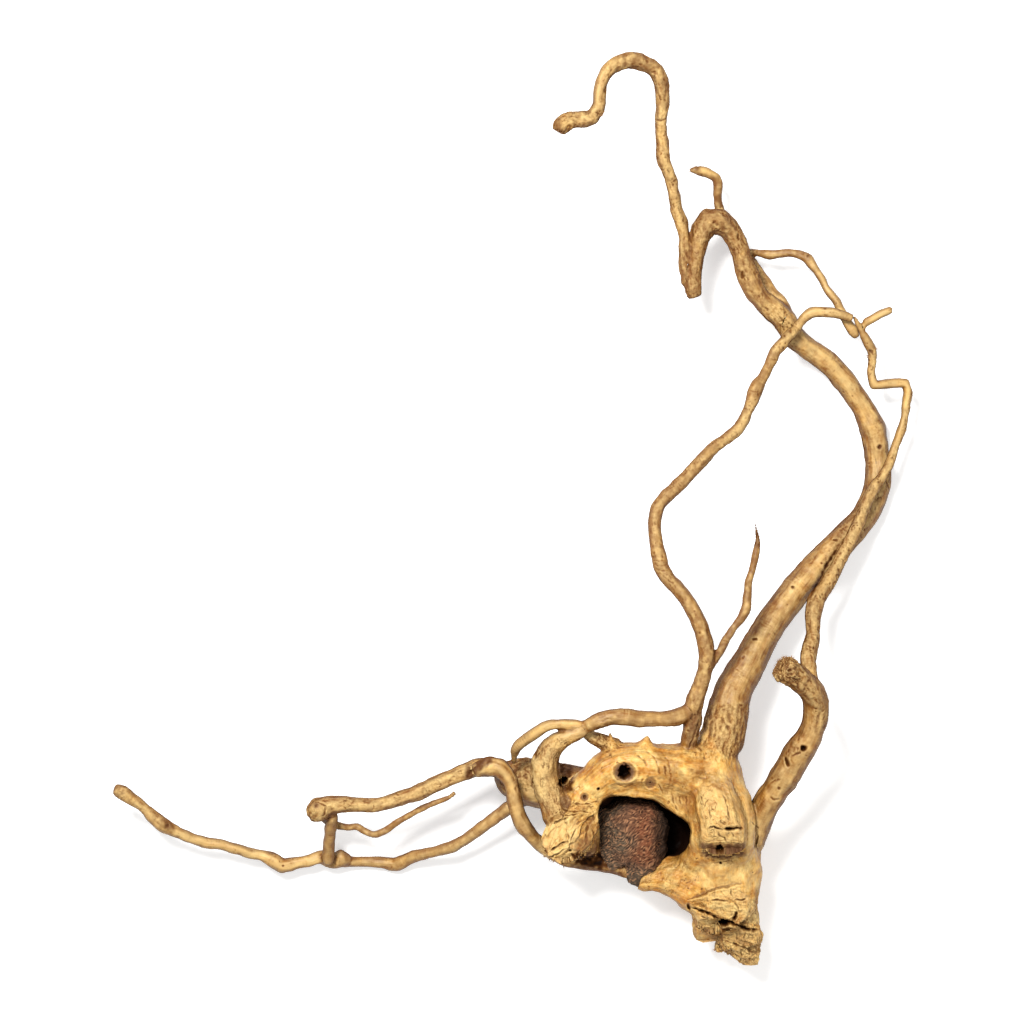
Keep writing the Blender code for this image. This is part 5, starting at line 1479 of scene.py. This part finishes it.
def shape_stump(skin):
    """Stump left in the hollow: uneven, its stringy bark swirling round it."""
    skin.find_normals()
    skin.groove = np.zeros(len(skin.points))
    start_marks(skin)
    broad = noise_at(skin.points, 13.0 * MM, 5.0)
    small = noise_at(skin.points, 5.0 * MM, 8.0)
    skin.points += skin.normals * (1.6 * MM * broad + 0.6 * MM * small)[:, None]
    look_from_above(skin)
    lie = np.array((math.cos(STRAND_LIE), math.sin(STRAND_LIE)))
    run, beside = skin.points[:, :2] @ lie, skin.points[:, :2] @ (-lie[1], lie[0])
    bend = noise_at(skin.points, 11.0 * MM, 31.0)
    ripple = noise_at(skin.points, 3.0 * MM, 77.0)
    strands = np.column_stack((run + 3.0 * MM * bend, beside + 4.0 * MM * bend
                               + 0.7 * MM * ripple, skin.points[:, 2]))
    skin.groove = noise_at(strands, (2.5 * MM, 0.8 * MM, 1.3 * MM), 2.0)
    fine = noise_at(strands, (1.2 * MM, 0.6 * MM, 0.8 * MM), 14.0)
    lumps = noise_at(skin.points, 3.2 * MM, 91.0)
    rise = 0.42 * MM * skin.groove + 0.16 * MM * fine + 0.8 * MM * lumps
    skin.points += skin.normals * rise[:, None]
    # Red in the middle; darker on the right, with painted shade below the rim and where it turns
    # down out of sight
    across, down = skin.spots.T
    low, upper = fade(down, 862.0, 10.0), fade(down, 812.0, -12.0)
    right = fade(across + 4.0 * small, 649.0, 14.0)
    edge = fade(skin.normals[:, 2], 0.55, -0.4) * fade(across, 612.0, 22.0)
    skin.pale = np.clip((across - 616.0) / 24.0 + 0.9 * broad, 0.0, 1.0)
    skin.pale *= (1.0 - low) * (1.0 - 0.7 * right)
    skin.stain = np.clip(np.maximum(np.maximum(right, upper), edge) * 0.85, 0.0, 1.0)
    stay_in_box(skin)
    note_looks(skin)


def linear(colour):
    """Linear light of an sRGB hex colour."""
    parts = [int(colour[start:start + 2], 16) / 255.0 for start in (1, 3, 5)]
    return tuple(part / 12.92 if part <= 0.04045 else ((part + 0.055) / 1.055) ** 2.4
                 for part in parts) + (1.0,)


def add_node(tree, kind, settings=(), sockets=()):
    """Adds a node, sets it, and gives each socket its value or the output that feeds it."""
    node = tree.nodes.new(kind)
    for name, value in dict(settings).items():
        setattr(node, name, value)
    for socket, value in dict(sockets).items():
        if isinstance(value, bpy.types.NodeSocket):
            tree.links.new(value, node.inputs[socket])
        else:
            node.inputs[socket].default_value = value
    return node


def lay_tints(tree, colour, tints):
    """Lays tints over a colour, each as strong as its own value says.

    A tint is left out where its value is at the start mark and takes its whole share where
    the value reaches the end mark.
    """
    for value, start, end, share, tint in tints:
        amount = add_node(tree, 'ShaderNodeMapRange', {}, {0: value, 1: start, 2: end, 4: share})
        colour = add_node(tree, 'ShaderNodeMix', {"data_type": 'RGBA'},
                          {0: amount.outputs[0], 6: colour, 7: linear(tint)}).outputs[2]
    return colour


def start_finish(name, even=()):
    """A new material, its nodes and its shader, set where it is the same all over."""
    finish = bpy.data.materials.new(name)
    finish.use_nodes = True
    shader = finish.node_tree.nodes["Principled BSDF"]
    for socket, value in dict(even).items():
        shader.inputs[socket].default_value = value
    return finish, finish.node_tree, shader


def skin_values(tree, names):
    """The four values that the skin carries at each corner under each of the names."""
    for name in names:
        layer = add_node(tree, 'ShaderNodeAttribute', {"attribute_name": name})
        parts = add_node(tree, 'ShaderNodeSeparateColor', {}, {0: layer.outputs["Color"]})
        yield (*parts.outputs[:3], layer.outputs["Alpha"])


def make_root_wood():
    """Moor root, stripped of its bark and worn smooth by water, then dried.

    The worn heartwood is golden on the crown and tan on the limbs. Painted shade browns the
    flanks, creases and broad hollows, and painted highlight lightens the limbs' tops and small
    ridges. There is a satin gleam where the grain is closed and none where it is torn or rotted.
    """
    wood, tree, shader = start_finish("stripped_moor_root")
    where = add_node(tree, 'ShaderNodeTexCoord').outputs["Object"]
    flow = add_node(tree, 'ShaderNodeAttribute', {"attribute_name": "flow"}).outputs["Vector"]
    ((crevice_shading, broad_hollow_shade, streak, flank), (stain, grey, pale, brown),
     (limb, stout, grit, band)) = skin_values(tree, ("tone", "marks", "kind"))
    # Patches of colour, broad mottling, speckle and crumbs of torn wood: size in mm
    patches, broad, spots, crumbs = (
        add_node(tree, 'ShaderNodeTexNoise', {}, {
            "Vector": where, "Scale": 1.0 / (size * MM), "Detail": detail,
            "Roughness": uneven}).outputs[0]
        for size, detail, uneven in ((9.0909, 4.0, 0.58), (26.316, 3.0, 0.5),
                                     (3.4483, 4.0, 0.6), (1.5625, 4.0, 0.6)))
    # Streaks and fibres along each limb: length and width in mm. Real fibres are about
    # 0.1 mm wide, too fine to show, so they are drawn as coarse as they need to show.
    strands, fibres = (
        add_node(tree, 'ShaderNodeTexNoise', {}, {
            "Scale": 1.0, "Detail": detail, "Roughness": uneven,
            "Vector": add_node(tree, 'ShaderNodeMapping', {}, {"Vector": flow, "Scale": (
                1.0 / (long * MM), 1.0 / (wide * MM), 1.0 / (wide * MM))}).outputs[0]
        }).outputs[0]
        for long, wide, detail, uneven in ((6.66667, 1.923077, 4.0, 0.62),
                                           (11.11111, 0.909091, 3.0, 0.5)))
    speckle = add_node(tree, 'ShaderNodeMix', {"data_type": 'FLOAT'},
                       {0: stout, 2: strands, 3: spots}).outputs[0]
    # Mottling and a painted highlight on their tops show on the limbs alone, crumbs where the wood
    # is torn
    mottle, painted_crest_highlight, dark_crumb, pale_crumb = (
        add_node(tree, 'ShaderNodeMapRange', {},
                 {0: value, 1: start, 2: end, 4: only_on}).outputs[0]
        for value, start, end, only_on in ((broad, 0.46, 0.64, limb), (flank, 0.16, 0.0, limb),
                                           (crumbs, 0.5, 0.64, grit), (crumbs, 0.5, 0.36, grit)))
    # Painted shade: wood that faces sideways or down is darkened towards deep brown
    side = add_node(tree, 'ShaderNodeMath', {"operation": 'POWER'}, {0: flank, 1: 0.76}).outputs[0]
    gold, tan = (
        lay_tints(tree, linear(deep), ((patches, start, 0.49, 1.0, warm),
                                       (patches, 0.49, end, 1.0, light)))
        for start, end, deep, warm, light in ((0.34, 0.64, "#BE7726", "#DCA24A", "#F0C878"),
                                              (0.30, 0.68, "#6C400F", "#9A6322", "#CB9341")))
    colour = add_node(tree, 'ShaderNodeMix', {"data_type": 'RGBA'},
                      {0: limb, 6: gold, 7: tan}).outputs[2]
    # Painted highlight: the pale tints on the limbs' tops and on small ridges. Painted shade: the
    # dark tints in creases, broad hollows and on the flanks; brown and the darkest tints are partly
    # real stains and partly painted shade in cracks, splits, pits, holes and the hollow
    colour = lay_tints(tree, colour, (
        (mottle, 0.0, 1.0, 0.65, "#754415"),
        (speckle, 0.5, 0.74, 0.5, "#74481C"), (speckle, 0.47, 0.27, 0.35, "#F3CF86"),
        (painted_crest_highlight, 0.0, 1.0, 0.3, "#F4D18A"),
        (band, 0.51, 0.76, 0.55, "#94581C"), (band, 0.46, 0.24, 0.28, "#F3D08A"),
        (dark_crumb, 0.0, 1.0, 0.36, "#6A4118"), (pale_crumb, 0.0, 1.0, 0.4, "#F6D892"),
        (fibres, 0.5, 0.8, 0.3, "#7E5226"), (streak, 0.42, 0.12, 0.22, "#8F5C28"),
        (crevice_shading, 0.48, 0.1, 0.35, "#F3D08A"), (broad_hollow_shade, 0.5, 0.9, 0.55, "#7A4719"),
        (crevice_shading, 0.53, 0.95, 0.7, "#5F3714"), (side, 0.0, 1.0, 1.0, "#4E2B09"),
        (brown, 0.0, 1.0, 0.8, "#744518"), (pale, 0.0, 1.0, 1.0, "#F2CF8A"),
        (grey, 0.0, 1.0, 1.0, "#6C5344"), (stain, 0.0, 0.5, 1.0, "#5A3414"),
        (stain, 0.4, 0.95, 1.0, "#1E100A")))
    dull = add_node(tree, 'ShaderNodeMapRange', {}, {0: grit, 3: 0.42, 4: 0.75})
    gleam = add_node(tree, 'ShaderNodeMapRange', {}, {0: stain, 2: 0.6, 3: 0.28, 4: 0.03})
    shine = add_node(tree, 'ShaderNodeMapRange', {},
                     {0: flank, 1: 0.9, 2: 0.1, 4: gleam.outputs[0]})
    raised = add_node(tree, 'ShaderNodeMath', {"operation": 'ADD'}, {0: fibres, 1: speckle})
    raised = add_node(tree, 'ShaderNodeMath', {"operation": 'SUBTRACT'},
                      {0: raised.outputs[0], 1: dark_crumb})
    relief = add_node(tree, 'ShaderNodeMapRange', {}, {0: limb, 3: 0.4, 4: 0.8})
    bump = add_node(tree, 'ShaderNodeBump', {}, {"Height": raised.outputs[0], "Distance": 0.5 * MM,
                                                 "Strength": relief.outputs[0]})
    for socket, source in (("Base Color", colour), ("Roughness", dull.outputs[0]),
                           ("Specular IOR Level", shine.outputs[0]), ("Normal", bump.outputs[0])):
        tree.links.new(source, shader.inputs[socket])
    return wood


def make_stump_bark():
    """Inner bark left on the stump, rotted by lying wet: soft red-brown strings with light crests,
    painted shade between them, below the rim and where it turns down, and no gloss."""
    bark, tree, shader = start_finish("stringy_red_bark", {"Roughness": 0.85,
                                                           "Specular IOR Level": 0.25})
    where = add_node(tree, 'ShaderNodeTexCoord').outputs["Object"]
    (crevice_shading, _, strand, _), (stain, _, red, _) = skin_values(tree, ("tone", "marks"))
    # Mottling: size in mm
    mottle = add_node(tree, 'ShaderNodeTexNoise', {}, {
        "Vector": where, "Scale": 1.0 / (3.84615 * MM), "Detail": 4.0}).outputs[0]
    colour = lay_tints(tree, linear("#5A4B3A"), (
        (red, 0.0, 1.0, 1.0, "#7B492E"), (mottle, 0.45, 0.7, 0.7, "#3A2215"),
        (strand, 0.5, 0.8, 0.75, "#B38059"), (crevice_shading, 0.5, 0.9, 0.85, "#28160E"),
        (stain, 0.0, 1.0, 1.0, "#22150D")))
    bump = add_node(tree, 'ShaderNodeBump', {}, {"Height": mottle, "Strength": 0.4,
                                                 "Distance": 0.4 * MM})
    tree.links.new(colour, shader.inputs["Base Color"])
    tree.links.new(bump.outputs[0], shader.inputs["Normal"])
    return bark


def make_fibre():
    """Torn wood fibre, pulled out and dried: pale tan, with no gloss."""
    return start_finish("torn_wood_fibre", {"Base Color": linear("#94693A"),
                                            "Roughness": 0.8})[0]


def hand_over(piece, nodes, material):
    """Gives a piece its finish and puts it in the place of its solids."""
    piece.data.materials.append(material)
    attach(piece, "root")
    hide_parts(*nodes)


def set_stage():
    """White photo table, lit faintly from below so that shadows on it stay weak."""
    deselect_all()
    bpy.ops.mesh.primitive_plane_add(size=TABLE_SIZE, location=(0.0, 0.0, -0.1 * MM))
    table = bpy.context.object
    table.name = "pale_table"
    white, _, _ = start_finish("matt_white_table", {
        "Base Color": linear("#F4F3F1"), "Roughness": 0.9,
        "Emission Color": linear("#FFFFFF"), "Emission Strength": ROOM_LIGHT})
    table.data.materials.append(white)


def add_soft_light(name, spot, size, power):
    """Square soft box that faces the middle of the root."""
    bpy.ops.object.light_add(type='AREA', location=spot)
    box = bpy.context.object
    box.name = name
    box.data.size = size
    box.data.energy = power
    box.rotation_euler = (-Vector(spot)).to_track_quat('-Z', 'Y').to_euler()


def light_scene():
    """Key light from the upper left, a weak broad one from the lower right, a pale room."""
    for name, light in SOFT_LIGHTS.items():
        add_soft_light(name, *light)
    world = bpy.data.worlds.new("pale_room")
    world.use_nodes = True
    sky = world.node_tree.nodes["Background"]
    sky.inputs["Color"].default_value = (1.0, 1.0, 1.0, 1.0)
    sky.inputs["Strength"].default_value = ROOM_LIGHT
    bpy.context.scene.world = world
    bpy.context.scene.view_settings.view_transform = 'Standard'


def aim_camera():
    """Camera straight above, its picture 1024 grid squares wide at the sheet's height."""
    deselect_all()
    bpy.ops.object.camera_add(location=(-MIDDLE_ACROSS, -MIDDLE_UP, EYE_HEIGHT),
                              rotation=(0.0, 0.0, 0.0))
    camera = bpy.context.object
    camera.data.sensor_width = SENSOR
    camera.data.lens = SENSOR * (EYE_HEIGHT - SHEET_HEIGHT) / (2.0 * GRID_MIDDLE * SQUARE)
    bpy.context.scene.camera = camera


def grow_tufts(skins):
    """Short torn fibres that stand out from broken ends, each a thin three-sided spike."""
    points, faces = [], []
    draw = random.Random(12)
    low, high = np.array(cad_box[0]) + 0.5 * MM, np.array(cad_box[1]) - 0.5 * MM
    for across, down, reach, lie, spread, count, length in TUFTS:
        roots = []
        for skin in skins:
            apart = np.linalg.norm(skin.spots - (across, down), axis=1)
            near = np.flatnonzero((apart < reach) & skin.seen)
            roots += zip(skin.points[near].tolist(), skin.normals[near].tolist())
        for _ in range(count):
            foot, out = map(Vector, roots[draw.randrange(len(roots))])
            turn = -math.radians(lie + draw.uniform(-spread, spread))
            aim = Vector((math.cos(turn), math.sin(turn), draw.uniform(-0.1, 0.5)))
            aim = (aim + 0.7 * out).normalized()
            side = aim.orthogonal().normalized() * draw.uniform(0.14, 0.26) * MM
            long = length * draw.uniform(0.5, 1.2) * MM
            bend = Vector((draw.uniform(-0.3, 0.3), draw.uniform(-0.3, 0.3), 0.0)) * long
            start = len(points)
            tip = foot + aim * long * 0.75 + bend
            if any(not low[axis] < tip[axis] < high[axis] for axis in range(3)):
                continue
            for share in (0.0, 0.6):
                middle = foot + aim * (long * (share - 0.25)) + bend * share
                for third in range(3):
                    spoke = Quaternion(aim, third * math.tau / 3.0) @ side
                    points.append(middle + spoke * (1.0 - 0.5 * share))
            points.append(tip)
            faces.append((start + 2, start + 1, start))
            for third in range(3):
                after = (third + 1) % 3
                wide, thin = start + third, start + 3 + third
                faces.append((wide, start + after, start + 3 + after, thin))
                faces.append((thin, start + 3 + after, start + 6))
    mesh = bpy.data.meshes.new("torn_fibres")
    mesh.from_pydata([tuple(point) for point in points], [], faces)
    tufts = bpy.data.objects.new("torn_fibres", mesh)
    bpy.context.collection.objects.link(tufts)
    return tufts


def build_root():
    """Grows the three skins, parts them, and puts the pieces in the place of the solids."""
    root_wood = make_root_wood()
    grown = {**CROWN, **LIMBS}
    crown = rough_crown()
    limbs = [draw_limb(*limb) for limb in LIMBS.items()]
    main = Skin(score_forks(grow_skin("grown_root", [crown] + limbs)), grown)
    shape_skin(main)
    pieces = part_skin(main)
    free = Skin(grow_skin("free_twigs", [draw_limb(*limb) for limb in FREE_TWIGS.items()]),
                FREE_TWIGS)
    shape_skin(free)
    pieces.update(part_skin(free))
    stump = Skin(grow_skin("stump", [draw_limb(*limb) for limb in INNER_STUMP.items()]),
                 INNER_STUMP)
    shape_stump(stump)
    pieces.update(part_skin(stump))
    bark = make_stump_bark()
    for name, piece in pieces.items():
        hand_over(piece, [name], bark if name == "inner_stump" else root_wood)
    tufts = grow_tufts([main, free])
    tufts.data.materials.append(make_fibre())
    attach(tufts, "root")


build_root()
set_stage()
light_scene()
aim_camera()
